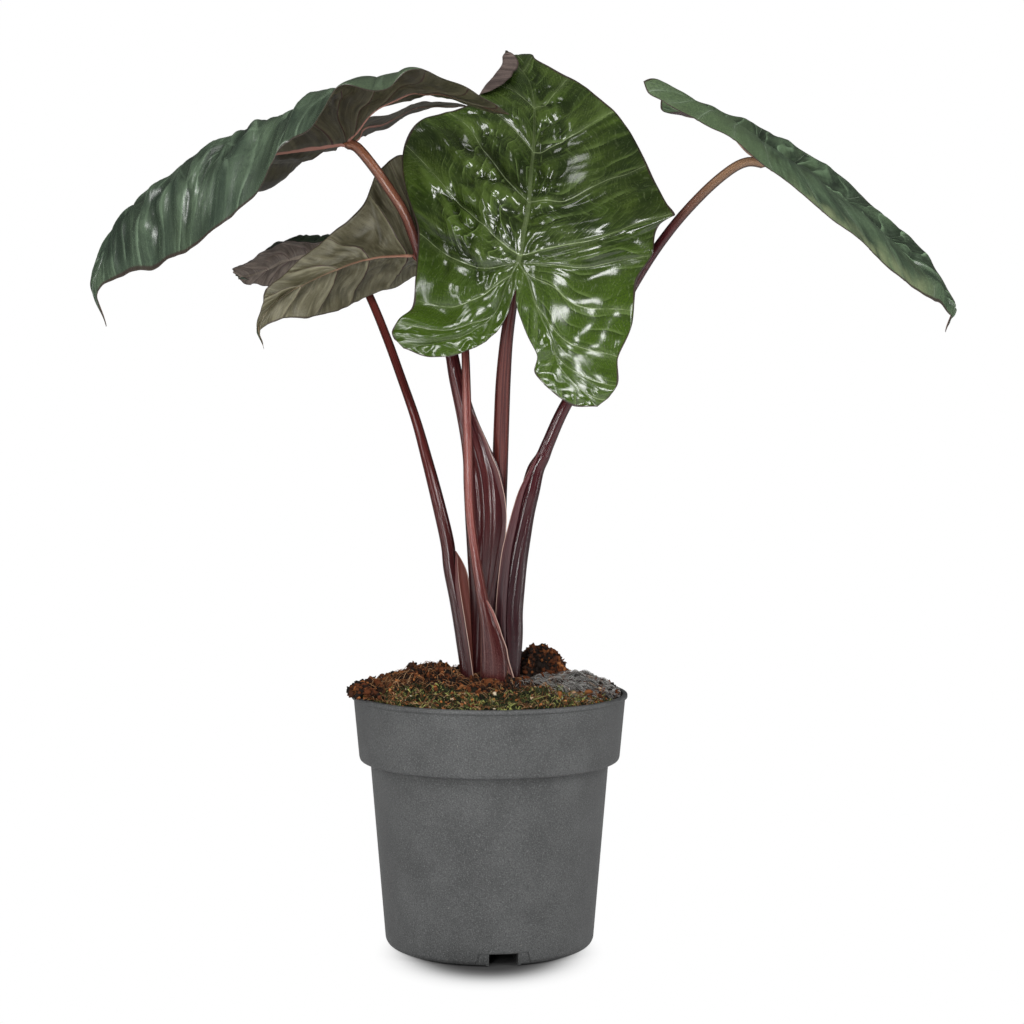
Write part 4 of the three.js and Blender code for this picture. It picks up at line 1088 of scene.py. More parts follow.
def ground_material(settings):
    """The soil's own surface: peat and coir, grey where the web lies and green by the front rim."""
    material, tree, shader = new_material("soil_ground")
    place = place_in_mm(tree)
    tint = grouped(tree, "Earth Tint", {
        "Place": place, "Shade": attribute(tree, "shade"), "Dark": paint(20, 12, 8),
        "Middle": settings.peat[:], "Pale": settings.coir[:], "Grain Size": 1.2,
    })
    weave = speckle(tree, place, 2.0, 4.0)
    web = times(tree, attribute(tree, "web"), fade(tree, weave, 0.45, 0.62))
    moss = times(tree, attribute(tree, "moss"), fade(tree, weave, 0.3, 0.65))
    earth = layered(tree, tint["Color"], [
        (times(tree, web, 0.25), settings.web[:]), (times(tree, moss, 0.8), settings.green[:]),
    ])
    wire(tree, shader, {
        "Base Color": earth, "Roughness": maths(tree, "MULTIPLY_ADD", tint["Grain"], 0.15, 0.8),
        "Specular IOR Level": 0.2, "Normal": bumped(tree, tint["Grain"], 0.0008, 0.7),
    })
    return material


# Leaves


class Sheet:
    """A thin sheet bent through its pins: the thin plate spline from the flat leaf to the plant."""

    def __init__(self, flats, places):
        self.pins = np.asarray(flats, float)
        count = len(self.pins)
        system = np.zeros((count + 3, count + 3))
        system[:count, :count] = self.pull(self.pins)
        system[:count, count:] = self.plane(self.pins)
        system[count:, :count] = system[:count, count:].T
        wanted = np.zeros((count + 3, 3))
        wanted[:count] = places
        self.weights = np.linalg.solve(system, wanted)

    def pull(self, flat):
        squared = ((flat[:, None, :] - self.pins[None, :, :]) ** 2).sum(-1)
        squared = np.maximum(squared, 1e-12)
        return 0.5 * squared * np.log(squared)

    @staticmethod
    def plane(flat):
        return np.column_stack([np.ones(len(flat)), flat])

    def at(self, flat):
        return np.column_stack([self.pull(flat), self.plane(flat)]) @ self.weights

    def normal(self, flat):
        step = 0.5
        across = self.at(flat + (step, 0)) - self.at(flat - (step, 0))
        along = self.at(flat + (0, step)) - self.at(flat - (0, step))
        return unit(np.cross(across, along))


def leaf_sheet(leaf):
    flats = [(0, pin[0]) for pin in leaf["midrib"]] + [pin[:2] for pin in leaf["spare"]]
    places = [pin[1:] for pin in leaf["midrib"]] + [pin[2:] for pin in leaf["spare"]]
    for side, margin, sinus in ((1, "right", "right_sinus"), (-1, "left", "left_sinus")):
        for line, pins in ((MARGIN, leaf[margin]), (SINUS, leaf[sinus])):
            flats += [tuple(catmull(line, [pin[0]])[0] * (side, 1)) for pin in pins]
            places += [pin[1:] for pin in pins]
    return Sheet(flats, sighted(places))


def rib_line(rows):
    """Points of the midrib, and past the joint of the lobe's rib."""
    tip = catmull(TIP_RIB, np.minimum(rows, JOINT_ROW))
    lobe = catmull(LOBE_RIB, np.maximum(rows - JOINT_ROW, 0))
    return np.where((rows <= JOINT_ROW)[:, None], tip, lobe)


def half_points(veins, side, rows, shares):
    """Flat points of one half of the blade, at vein numbers and shares of the way to the margin."""
    ends = catmull(veins, rows)
    rib = rib_line(ends[:, 0])
    margin = catmull(MARGIN, ends[:, 1 if side > 0 else 2])
    points = rib[:, None] + (margin - rib)[:, None] * shares[None, :, None]
    sag = np.minimum(np.minimum(ends[:, 0], LAST_ROW - ends[:, 0]), 1)
    points[..., 1] -= VEIN_SAG * 4 * (shares * (1 - shares))[None] * sag[:, None]
    return points


def wander(flat, side, seed):
    """How far the side veins may stray from their even lines."""
    u, v = flat[..., 0], flat[..., 1]
    return 15 * np.stack([lumps(u, v, 24, seed + first + side) for first in (20, 30)], -1)


def vein_steps(leaf):
    """Vein numbers from the tip to the lobe's end, close enough for steps of the leaf's own size."""
    last = len(leaf["veins"]) - 1
    rows = [np.zeros(1)]
    for k in range(last):
        longest = 0
        for side in (1, -1):
            walk = half_points(leaf["veins"], side, np.linspace(k, k + 1, 9), np.array([0.0, 1.0]))
            longest = max(longest, np.linalg.norm(np.diff(walk, axis=0), axis=-1).sum(0).max())
        rows.append(k + np.linspace(0, 1, math.ceil(longest / leaf["step"]) + 1)[1:])
    return np.concatenate(rows)


def thinning(rib_rows):
    """How stout the rib is: full at the joint, thin at the tip and along the lobes."""
    to_tip = np.minimum(1, rib_rows / JOINT_ROW + 0.12)
    to_lobe = np.maximum(0.12, 0.8 - 0.7 * (rib_rows - JOINT_ROW) / (LAST_ROW - JOINT_ROW))
    return np.where(rib_rows <= JOINT_ROW, to_tip, to_lobe)[:, None]


def rounded_rise(distance, half):
    """The round profile of a rib, from 1 over its middle to 0 beyond its half width."""
    return np.sqrt(np.maximum(1 - (distance / half) ** 2, 0))


def lobe_share(v):
    """How much a place belongs to the lobes: 0 in front of the joint, 1 well behind it."""
    return np.clip(-(v + 6) / 25, 0, 1)


def broad_swell(u, v, leaf):
    """The blade's broad unevenness, with rounder swellings in the lobes."""
    seed = leaf["seed"]
    swell = 1.1 * lumps(u, v, 24, seed + 9) + 1.9 * lumps(u, v, 17, seed + 12) * lobe_share(v)
    return swell * leaf["relief"]["lumps"]


def rib_groove(from_rib, thinner):
    """The groove over the midrib, deepest where the rib is stout."""
    return -0.75 * np.exp(-((from_rib / (1.8 * thinner + 0.3)) ** 2)) * thinner


def rib_bulge(from_rib, thinner, settings):
    """How far the midrib stands out below the blade."""
    return settings.midrib / MM * thinner * rounded_rise(from_rib, 3.0 * thinner)


def half_blade(leaf, side, rows, settings):
    """One half of the flat blade: its points, the values that its relief and colours follow, the
    outward way at its margin and each point's home, for what rolls over the margin the place there."""
    hand = 0 if side > 0 else 1
    seed = leaf["seed"]
    bold = leaf["relief"]
    shares = np.linspace(0, 1, round(BLADE_COLUMNS / leaf["step"]) + 1) ** 1.35
    flat = half_points(leaf["veins"], side, rows, shares)
    lower_vein = np.minimum(np.floor(rows), len(leaf["veins"]) - 2)
    start = half_points(leaf["veins"], side, lower_vein, shares)
    end = half_points(leaf["veins"], side, lower_vein + 1, shares)
    spacing = np.linalg.norm(end - start, axis=-1)
    part = (rows - lower_vein)[:, None]
    width = np.linalg.norm(flat[:, -1] - flat[:, 0], axis=-1)[:, None]
    from_rib = shares * width
    loose = shares * (1 - shares) * np.minimum(1, width / 60)
    flat = flat + wander(flat, side, seed) * loose[..., None]
    u, v = flat[..., 0] * side, flat[..., 1]
    ends = catmull(leaf["veins"], rows)
    thinner = thinning(ends[:, 0])
    margin_rows = ends[:, 1 + hand]

    slant = np.abs(part - 0.5) * spacing * 0.5
    shift = np.random.default_rng(seed).uniform(0, 1, len(leaf["veins"]))
    shift = shift[lower_vein.astype(int)][:, None]
    cross = (from_rib + slant) / (settings.cross_pitch / MM) + shift + 0.8 * lumps(u, v, 16, seed + 1)
    between = np.abs(np.sin(np.pi * part))
    off_rib = 1 - np.exp(-from_rib / 4)
    off_rim = 1 - shares**6
    calm = 1 - 0.9 * np.exp(-((np.hypot(u, v) / 32) ** 2))
    in_lobe = lobe_share(v)
    inner = np.clip(1.25 - from_rib / bold["reach"][hand], 0.08, 1) * (1 - 0.88 * in_lobe) * calm

    swell = settings.quilt / MM * np.minimum(spacing / 26, 1.25) * between**0.7
    swell = swell * (1 - 0.45 * in_lobe) * (1 + 0.35 * lumps(u, v, 19, seed + 6)) * bold["swell"][hand]
    patchy = np.clip(0.4 + 1.2 * lumps(u, v, 13, seed + 7), 0, 1)
    rungs = settings.cross_ridge / MM * np.cos(2 * np.pi * cross) * between * patchy
    pillows = 2.6 * np.abs(lumps(u, v, 13, seed + 2)) + 0.35 * np.abs(lumps(u, v, 7, seed + 3)) - 0.9
    puckered = rungs * inner * bold["pucker"] + pillows * inner * bold["pucker"]

    weave = np.broadcast_to(24.0 * rows[:, None], from_rib.shape)
    pleat = 2.4 * rows[:, None] + 0.55 * lumps(u, v, 20, seed + 15)
    folds = 1.2 * lumps(weave, from_rib / 4, 6, seed + 8)
    folds = folds + 0.35 * lumps(weave, from_rib / 5, 2.4, seed + 10)
    folds = folds + 0.45 * np.cos(2 * np.pi * (pleat - 0.93))
    folds = folds * np.clip(shares * 1.6, 0, 1) * (0.35 + 0.65 * off_rim) * (1 - 0.92 * in_lobe) * calm
    local = puckered * off_rib * off_rim + folds * bold["folds"][hand]
    broad = broad_swell(u, v, leaf)
    trough = -bold["trough"] * np.exp(-((from_rib / 11) ** 2)) * thinner
    wave = settings.ruffle / MM * np.sin(1.7 * np.pi * rows + 2 * side)[:, None]
    wave = (wave + 1.4 * lumps(v, u, 17, seed + 5)) * shares**3 * bold["ruffle"]
    fold = leaf.get("fold")
    folded = fold and fold["side"] == side
    if folded:
        still = np.clip((margin_rows - 1.6) / 1.4, 0.1, 1)[:, None]
        wave, broad, local = wave * still, broad * still, local * still

    vein_distance = spacing * np.minimum(part, 1 - part)
    vein_rise = 0.5 * (1 - 0.6 * shares) * rounded_rise(vein_distance, 1.2 * (1 - 0.7 * shares)) * off_rib
    vein_groove = 0.45 * np.exp(-((vein_distance / 0.9) ** 2)) * off_rib * off_rim * (1 - 0.5 * shares)
    relief = swell * off_rib * off_rim + local + broad + trough + wave
    values = {
        "vein": vein_distance,
        "rib": from_rib / (0.2 + 0.8 * thinner),
        "rim": (1 - shares) * width,
        "cross": cross,
        "weave": weave,
        "from_rib": from_rib,
        "relief": relief * np.minimum(1, width / 34),
        "dip": local * np.minimum(1, width / 34),
        "pleat": pleat,
        "groove": rib_groove(from_rib, thinner) - vein_groove * (1 - 0.65 * in_lobe),
        "bulge": np.maximum(rib_bulge(from_rib, thinner, settings), vein_rise),
        "curl": np.zeros_like(vein_distance),
    }
    outward = unit(flat[:, -1] - flat[:, 0])
    outward[0] = (0, 1)
    outward[-1] = LOBE_END_WAY
    values = {key: np.broadcast_to(value, flat.shape[:2]) for key, value in values.items()}
    home = flat
    if folded:
        reach = np.interp(margin_rows, fold["rows"], fold["reach"], 0, 0)[:, None]
        curl = np.linspace(0, 1, FOLD_COLUMNS + 1)[1:] * reach
        flat = np.concatenate([flat, flat[:, -1:] + outward[:, None] * curl[..., None]], 1)
        home = np.concatenate([home, np.repeat(home[:, -1:], FOLD_COLUMNS, 1)], 1)
        for key, value in values.items():
            values[key] = np.concatenate([value, np.repeat(value[:, -1:], FOLD_COLUMNS, 1)], 1)
        values["curl"][:, -FOLD_COLUMNS:] = curl
        values["rim"][:, -FOLD_COLUMNS - 1:] = np.concatenate([reach, reach - curl], 1)
    return flat, values, outward, home


def half_sinus(leaf, side, rows, blade, settings):
    """The strip between a lobe's rib and the sinus, going on from the blade's values at the rib."""
    blade_rows = rows >= JOINT_VEIN
    rows = rows[blade_rows]
    shares = np.linspace(0, 1, round(SINUS_COLUMNS / leaf["step"]) + 1)

    def strip(at_rows):
        lobe_rows = catmull(leaf["veins"], at_rows)[:, 0] - JOINT_ROW
        rib = catmull(LOBE_RIB, lobe_rows)
        return rib[:, None] + (catmull(SINUS, lobe_rows) - rib)[:, None] * shares[None, :, None]

    flat = strip(rows)
    lower_vein = np.minimum(np.floor(rows), len(leaf["veins"]) - 2)
    spacing = np.linalg.norm(strip(lower_vein + 1) - strip(lower_vein), axis=-1)
    part = (rows - lower_vein)[:, None]
    across = flat[:, -1] - flat[:, 0]
    width = np.linalg.norm(across, axis=-1)[:, None]
    from_rib = shares * width
    u, v = flat[..., 0] * side, flat[..., 1]
    seed = leaf["seed"]
    bold = leaf["relief"]
    at_rib = {key: value[blade_rows][:, :1] for key, value in blade.items()}
    thinner = thinning(catmull(leaf["veins"], rows)[:, 0])
    wave = 1.5 * lumps(v, u, 12, seed + 5) * shares**2 * bold["ruffle"] * np.minimum(1, width / 10)
    pucker = 0.5 * np.abs(lumps(u, v, 7, seed + 2)) * bold["pucker"] * (1 - np.exp(-from_rib / 3))
    at_ease = np.exp(-from_rib / 8)
    broad = broad_swell(u, v, leaf) * (1 - at_ease)
    values = {
        "vein": spacing * np.minimum(part, 1 - part) + 0.2,
        "rib": from_rib / (0.2 + 0.8 * thinner),
        "rim": (1 - shares) * width,
        "cross": at_rib["cross"] + from_rib * MM / settings.cross_pitch,
        "weave": at_rib["weave"],
        "from_rib": -from_rib,
        "relief": at_rib["relief"] * at_ease + broad + wave + pucker,
        "dip": at_rib["dip"] * at_ease + pucker,
        "pleat": at_rib["pleat"],
        "groove": rib_groove(from_rib, thinner),
        "bulge": rib_bulge(from_rib, thinner, settings),
        "curl": np.zeros_like(from_rib),
    }
    outward = unit(across)
    outward[0] = (0, -1)
    outward[-1] = LOBE_END_WAY
    values = {key: np.broadcast_to(value, flat.shape[:2]) for key, value in values.items()}
    return flat, values, outward, flat


def flat_leaf(leaf, settings):
    """The whole flat leaf, welded: points, homes, triangles, values and the outward way at margins."""
    rows = vein_steps(leaf)
    flats, homes, ways, triangles = [], [], [], []
    gathered = {}
    shift = 0
    for side in (1, -1):
        blade = half_blade(leaf, side, rows, settings)
        strip = half_sinus(leaf, side, rows, blade[1], settings)
        for (flat, values, outward, home), turn in ((blade, side), (strip, -side)):
            count = flat.shape[0] * flat.shape[1]
            cells = grid_triangles(np.arange(shift, shift + count).reshape(flat.shape[:2]))
            triangles.append(cells[:, ::-1] if turn > 0 else cells)
            shift += count
            way = np.zeros_like(flat)
            way[values["curl"] > 0] = np.repeat(outward, (values["curl"] > 0).sum(1), axis=0)
            way[:, -1] = outward
            for gatherer, points in ((flats, flat), (homes, home), (ways, way)):
                gatherer.append(points.reshape(-1, 2) * (side, 1))
            for key, value in values.items():
                gathered.setdefault(key, []).append(np.asarray(value, float).ravel())
    flats = np.concatenate(flats)
    keys = np.round(flats * 1000).astype(int)
    _, first, welded = np.unique(keys, axis=0, return_index=True, return_inverse=True)
    welded = welded.ravel()
    values = {key: np.concatenate(value)[first] for key, value in gathered.items()}
    summed = np.zeros((len(first), 2))
    np.add.at(summed, welded, np.concatenate(ways))
    triangles = with_area(welded[np.concatenate(triangles)])
    return flats[first], np.concatenate(homes)[first], triangles, values, unit(summed)


# The radius of a rolled margin and how far round it turns, in radians
ROLL_RADIUS = 1.6
ROLL_TURN = 2.85


def spread(sheet, home, way, curl):
    """Places and normals on the bent sheet; what lies beyond a folded margin rolls back over it."""
    place = sheet.at(home)
    normal = sheet.normal(home)
    out = unit(sheet.at(home + way) - place)
    out = unit(out - normal * (out * normal).sum(1, keepdims=True))
    turn = np.minimum(curl / ROLL_RADIUS, ROLL_TURN)[:, None]
    rest = np.maximum(curl - ROLL_RADIUS * ROLL_TURN, 0)[:, None]
    rolled = place + out * ROLL_RADIUS * np.sin(turn) + normal * ROLL_RADIUS * (1 - np.cos(turn))
    rolled = rolled + (out * np.cos(turn) + normal * np.sin(turn)) * rest
    return rolled, normal * np.cos(turn) - out * np.sin(turn)


def boundary(triangles):
    """The directed edges that only one triangle has."""
    edges = np.concatenate([triangles[:, [0, 1]], triangles[:, [1, 2]], triangles[:, [2, 0]]])
    known = {(a, b) for a, b in edges.tolist()}
    return np.array([(a, b) for a, b in edges.tolist() if (b, a) not in known])


def build_leaf(name, leaf, settings):
    """One blade: two faces a little apart, joined by a rounded margin, ribs standing out below."""
    flat, home, triangles, values, way = flat_leaf(leaf, settings)
    sheet = leaf_sheet(leaf)
    middle, normal = spread(sheet, home, way, values["curl"])
    half = settings.thickness / MM / 2
    thin = half * (0.45 + 0.55 * np.minimum(values["rim"] / 3, 1))
    knob = 1.6 * np.exp(-((np.linalg.norm(flat, axis=1) / 4.5) ** 2))
    upper = middle + normal * (values["relief"] + values["groove"] + thin)[:, None]
    lower = middle + normal * (values["relief"] - thin - values["bulge"] - knob)[:, None]
    edges = boundary(triangles)
    rim = np.unique(edges)
    low = len(flat)
    number = np.full(low, -1)
    number[rim] = np.arange(len(rim)) + 2 * low
    brink, brink_normal = spread(sheet, home[rim], way[rim], values["curl"][rim] + BRINK)
    brink = brink + brink_normal * values["relief"][rim][:, None]
    a, b = edges[:, 0], edges[:, 1]
    strip = np.concatenate([
        np.stack([b, a, number[a]], 1), np.stack([b, number[a], number[b]], 1),
        np.stack([number[b], number[a], a + low], 1), np.stack([number[b], a + low, b + low], 1),
    ])
    every = np.concatenate([triangles, triangles[:, ::-1] + low, strip])
    slots = np.concatenate([np.zeros(len(triangles)), np.ones(len(triangles) + len(strip))])
    carried = {key: values[key] for key in ("vein", "rib", "rim", "cross", "dip", "pleat")}
    carried["flat"] = np.column_stack([flat, np.zeros(low)])
    carried["weave"] = np.column_stack([values["weave"], 0.1 * values["from_rib"], np.zeros(low)])
    carried = {key: np.concatenate([value, value, value[rim]]) for key, value in carried.items()}
    materials = [upper_material(name, leaf, settings), under_material(name, leaf, settings)]
    points = np.concatenate([upper, lower, brink])
    piece = make_piece(f"blade_{name}", points, every, materials, carried, slots)
    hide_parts(f"leaf_{name}")
    return piece


# Stalks

# How deep a stalk's end lies below the middle of its blade, and how finely a sheath is divided
STALK_SINK = 2.2
SHEATH_STEPS = 12
SHEATH_SIDES = 16


def stalk_rows(stalk, sheet, trough):
    """The route from the foot in the soil to the blade's middle: x, y, z, half sizes and channel."""
    route = [(stalk["route"][0][0], STALK_FOOT_UP, *stalk["route"][0][2:])] + list(stalk["route"])
    places = sighted([row[:3] for row in route])
    rows = np.column_stack([places, [row[3:] for row in route]])
    joint = sheet.at(np.zeros((1, 2)))[0]
    normal = sheet.normal(np.zeros((1, 2)))[0]
    end = joint - (STALK_SINK + trough) * normal
    return np.vstack([rows, [*end, rows[-1][3], rows[-1][4], 0]]), normal


def build_stalk(name, stalk, settings):
    """One leaf stalk, fluted along its length, from the soil up into its blade's rib."""
    rows, facing = stalk_rows(stalk, leaf_sheet(LEAVES[name]), LEAVES[name]["relief"]["trough"])
    places = [np.zeros(1)]
    for k, length in enumerate(np.linalg.norm(np.diff(rows[:, :3], axis=0), axis=1)):
        places.append(k + np.linspace(0, 1, max(1, round(length * MM / settings.step)) + 1)[1:])
    places = np.concatenate(places)
    ring = catmull(rows, places)
    step = 0.05
    before = catmull(rows, np.maximum(places - step, 0))
    after = catmull(rows, np.minimum(places + step, len(rows) - 1))
    along = unit((after - before)[:, :3])
    along[-1] = facing
    deep = unit(np.array([0.0, 1.0, 0.0]) - along * along[:, 1:2])
    wide = np.cross(deep, along)
    angle = ring_angles(settings.sides)
    half_wide, half_deep, channel = ring[:, 3:4], ring[:, 4:5], ring[:, 5:6]
    hollow = channel * np.maximum(np.cos(angle - stalk["channel"]), 0) ** 3
    pitch, depth = stalk["flute"]
    flutes = depth * np.cos(2 * np.pi * (half_wide * np.cos(angle)) / pitch + 0.6)
    flutes = flutes * np.abs(np.sin(angle)) * np.minimum(half_wide / 8, 1)
    reach_wide = half_wide * (1 - hollow)
    reach_deep = half_deep * (1 - hollow) + flutes
    points = (
        ring[:, None, :3]
        + wide[:, None] * (reach_wide * np.cos(angle))[..., None]
        + deep[:, None] * (reach_deep * np.sin(angle))[..., None]
    )
    lengths = travelled(ring[:, :3])
    values = {
        "stem": stem_places(np.cos(angle), np.sin(angle), lengths),
        "share": np.repeat(lengths / lengths[-1], settings.sides),
    }
    piece = make_piece(
        f"petiole_{name}", points.reshape(-1, 3), loft_triangles(len(places), settings.sides),
        [stalk_material(name, stalk, settings)], values,
    )
    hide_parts(f"stalk_{name}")
    return piece


def build_sheath(name, sheath, settings):
    """The free margin of a sheath: a thin leathery strip from its root on the stalk to its edge."""
    gaps = len(sheath["line"]) - 1
    edge = sighted(catmull(sheath["line"], np.linspace(0, gaps, SHEATH_STEPS * gaps + 1)))
    taper = np.sin(np.pi * np.minimum(np.linspace(0.02, 1.3, len(edge)), 1) / 2) ** 0.7
    across, deep = sheath["root"]
    root = edge + np.column_stack([across * taper, deep * taper, np.zeros(len(edge))])
    angle = ring_angles(SHEATH_SIDES)
    half = settings.sheath_thickness / MM / 2
    way = (edge - root) / 2
    flat_normal = unit(np.cross(way, unit(np.gradient(edge, axis=0))))
    points = (
        (edge + root)[:, None] / 2 + way[:, None] * np.cos(angle)[None, :, None]
        + flat_normal[:, None] * (half * np.sin(angle) * (1.25 - np.cos(angle)))[None, :, None]
    )
    lengths = travelled(edge)
    values = {
        "stem": stem_places(1.5 * np.cos(angle), 0.2 * np.sin(angle), lengths),
        "share": np.repeat(1 - lengths / lengths[-1], SHEATH_SIDES),
        "edge": np.tile(np.cos(angle), len(edge)),
    }
    material = sheath_material(name, STALKS[sheath["stalk"]], settings, sheath["dry"])
    return make_piece(
        f"sheath_{name}", points.reshape(-1, 3), loft_triangles(len(edge), SHEATH_SIDES), [material],
        values,
    )


# Pot, in millimetres

FOOT = 3
FOOT_EDGE = 0.9
EDGE_ROUNDING = 0.8
SHARP_FROM = math.radians(32)
LIP_HEIGHT = 2.6
LIP_UNDERSIDE = 0.8
COLLAR_EDGE = 2.2
COLLAR_SHOULDER = (0.5, 0.8)
COLLAR_SIDE_UP = 2.6
COLLAR_TOP_RADIUS = 83.7
COLLAR_FOOT_RADIUS = 80.3
COLLAR_FOOT_Z = 112
BODY_TOP_RADIUS = 73.5
BASE_RADIUS = 63.8
POT_FLOOR = 1.6
PORTS = 3
FIRST_PORT_TURN = -math.pi / 2 + 0.132
PORT_WIDTH = 17.4
PORT_HEIGHT = 7.6
CHANNEL_START = 29.6
CHANNEL_END = 62.4
DRAIN_SLOT = {"length": 16, "width": 4, "middle": 44}
PANEL = {"foot_width": 35, "top_width": 30, "height": 8.2, "depth": 0.65, "overcut": 4.0, "columns": 17}

# How far the blocks that cut the ports and slots go past the faces that they cut
PORT_OVERCUT = 1


def body_radius(z):
    return BASE_RADIUS + (BODY_TOP_RADIUS - BASE_RADIUS) * z / COLLAR_FOOT_Z


def rounded(outline, radius, steps=4):
    """An outline with each inner corner rounded, by no more than a third of its shorter side."""
    points = [outline[0]]
    for before, corner, after in zip(outline, outline[1:], outline[2:]):
        before, corner, after = (np.asarray(p, float) for p in (before, corner, after))
        reach = min(radius, np.linalg.norm(before - corner) / 3, np.linalg.norm(after - corner) / 3)
        start = corner + unit(before - corner) * reach
        end = corner + unit(after - corner) * reach
        for f in np.linspace(0, 1, steps + 1):
            points.append(tuple(start * (1 - f) ** 2 + corner * 2 * f * (1 - f) + end * f**2))
    points.append(outline[-1])
    return points


def solid_mesh(name, points, faces):
    mesh = bpy.data.meshes.new(name)
    mesh.from_pydata([tuple(c * MM for c in point) for point in points], [], faces)
    tool = bmesh.new()
    tool.from_mesh(mesh)
    bmesh.ops.remove_doubles(tool, verts=tool.verts, dist=1e-7)
    bmesh.ops.recalc_face_normals(tool, faces=tool.faces)
    tool.to_mesh(mesh)
    tool.free()
    thing = bpy.data.objects.new(name, mesh)
    bpy.context.scene.collection.objects.link(thing)
    return thing


def lathe(name, outline, sides):
    """A solid of revolution about Z from an outline that starts and ends on the axis."""
    points = []
    for r, z in outline:
        for k in range(sides):
            turn = 2 * math.pi * k / sides
            points.append((r * math.cos(turn), r * math.sin(turn), z))
    faces = []
    for first in range(0, len(points) - sides, sides):
        for k in range(sides):
            a, b = first + k, first + (k + 1) % sides
            faces.append((a, b, b + sides, a + sides))
    return solid_mesh(name, points, faces)


def turned_box(start, end, width, low, high, turn):
    """Corners and faces of a box that points out from the axis."""
    cos, sin = math.cos(turn), math.sin(turn)
    points = []
    for r in (start, end):
        for side in (-width / 2, width / 2):
            for z in (low, high):
                points.append((r * cos - side * sin, r * sin + side * cos, z))
    faces = [(0, 1, 3, 2), (4, 6, 7, 5), (0, 4, 5, 1), (2, 3, 7, 6), (0, 2, 6, 4), (1, 5, 7, 3)]
    return points, faces


def panel_block(turn):
    """The shallow pressed panel round a port: a curved block as deep as the panel is."""
    points, faces = [], []
    columns = PANEL["columns"]
    levels = [(-PORT_OVERCUT, PANEL["foot_width"]), (PANEL["height"], PANEL["top_width"])]
    for off in (-PANEL["depth"], PANEL["overcut"]):
        for z, width in levels:
            r = body_radius(z) + off
            for share in np.linspace(-0.5, 0.5, columns):
                angle = turn + share * width / body_radius(z)
                points.append((r * math.cos(angle), r * math.sin(angle), z))
    outer = 2 * columns
    for k in range(columns - 1):
        for base in (0, outer):
            faces.append((base + k, base + k + 1, base + columns + k + 1, base + columns + k))
        for low in (0, columns):
            faces.append((low + k, low + k + 1, outer + low + k + 1, outer + low + k))
    for k in (0, columns - 1):
        faces.append((k, columns + k, outer + columns + k, outer + k))
    return points, faces


def joined_blocks(name, blocks):
    points, faces = [], []
    for block_points, block_faces in blocks:
        shift = len(points)
        points += block_points
        faces += [tuple(number + shift for number in face) for face in block_faces]
    return solid_mesh(name, points, faces)


def combine(thing, tool, operation):
    """Cuts a tool out of a solid, or joins it on, and puts the tool away."""
    change = thing.modifiers.new("shape", "BOOLEAN")
    change.operation = operation
    change.solver = "EXACT"
    change.object = tool
    changed = bpy.data.meshes.new_from_object(thing.evaluated_get(bpy.context.evaluated_depsgraph_get()))
    thing.modifiers.clear()
    old = thing.data
    thing.data = changed
    bpy.data.meshes.remove(old)
    bpy.data.objects.remove(tool)


def build_pot(settings):
    """The pot: a rounded lathe form with drain ports at its foot and a channel behind each."""
    rim, height, wall = settings.rim_radius / MM, settings.height / MM, settings.wall / MM
    ledge = COLLAR_FOOT_Z + wall
    lip_foot = height - LIP_HEIGHT
    shoulder_in, shoulder_up = COLLAR_SHOULDER
    outline = [
        (0, 0), (BASE_RADIUS - FOOT, 0), (BASE_RADIUS - FOOT_EDGE, FOOT_EDGE), (body_radius(FOOT), FOOT),
        (BODY_TOP_RADIUS, COLLAR_FOOT_Z), (COLLAR_FOOT_RADIUS - COLLAR_EDGE, COLLAR_FOOT_Z),
        (COLLAR_FOOT_RADIUS - shoulder_in, COLLAR_FOOT_Z + shoulder_up),
        (COLLAR_FOOT_RADIUS, COLLAR_FOOT_Z + COLLAR_SIDE_UP), (COLLAR_TOP_RADIUS, lip_foot - LIP_UNDERSIDE),
        (COLLAR_TOP_RADIUS + 0.2, lip_foot), (rim, lip_foot + 0.1), (rim, height - 0.6),
        (rim - 0.7, height), (COLLAR_TOP_RADIUS - wall, height), (COLLAR_TOP_RADIUS - wall, lip_foot),
        (COLLAR_FOOT_RADIUS - wall, ledge), (BODY_TOP_RADIUS - wall, ledge),
        (body_radius(FOOT) - wall, FOOT), (BASE_RADIUS - FOOT - 0.4, POT_FLOOR), (0, POT_FLOOR),
    ]
    pot = lathe("grower_pot", rounded(outline, EDGE_ROUNDING), settings.sides)
    turns = [FIRST_PORT_TURN + k * 2 * math.pi / PORTS for k in range(PORTS)]

    def boxes(name, *measures):
        return joined_blocks(name, [turned_box(*measures, turn) for turn in turns])

    roof = PORT_HEIGHT + wall
    slot_from = DRAIN_SLOT["middle"] - DRAIN_SLOT["length"] / 2
    slot_to = DRAIN_SLOT["middle"] + DRAIN_SLOT["length"] / 2
    roofs = boxes("roofs", CHANNEL_START - wall, CHANNEL_END, PORT_WIDTH + 2 * wall, POT_FLOOR / 2, roof)
    combine(pot, roofs, "UNION")
    combine(pot, joined_blocks("panels", [panel_block(turn) for turn in turns]), "DIFFERENCE")
    ports = boxes("ports", CHANNEL_START, rim, PORT_WIDTH, -PORT_OVERCUT, PORT_HEIGHT)
    combine(pot, ports, "DIFFERENCE")
    slots = boxes(
        "slots", slot_from, slot_to, DRAIN_SLOT["width"], PORT_HEIGHT - PORT_OVERCUT, roof + PORT_OVERCUT)
    combine(pot, slots, "DIFFERENCE")
    pot.data.materials.clear()
    pot.data.materials.append(plastic_material(settings))
    pot.data.shade_smooth()
    pot.data.set_sharp_from_angle(angle=SHARP_FROM)
    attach(pot, "root")
    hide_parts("pot")
    return pot


# Soil, in millimetres

SOIL_RADIUS = 81.6
RIM_TOP = 153

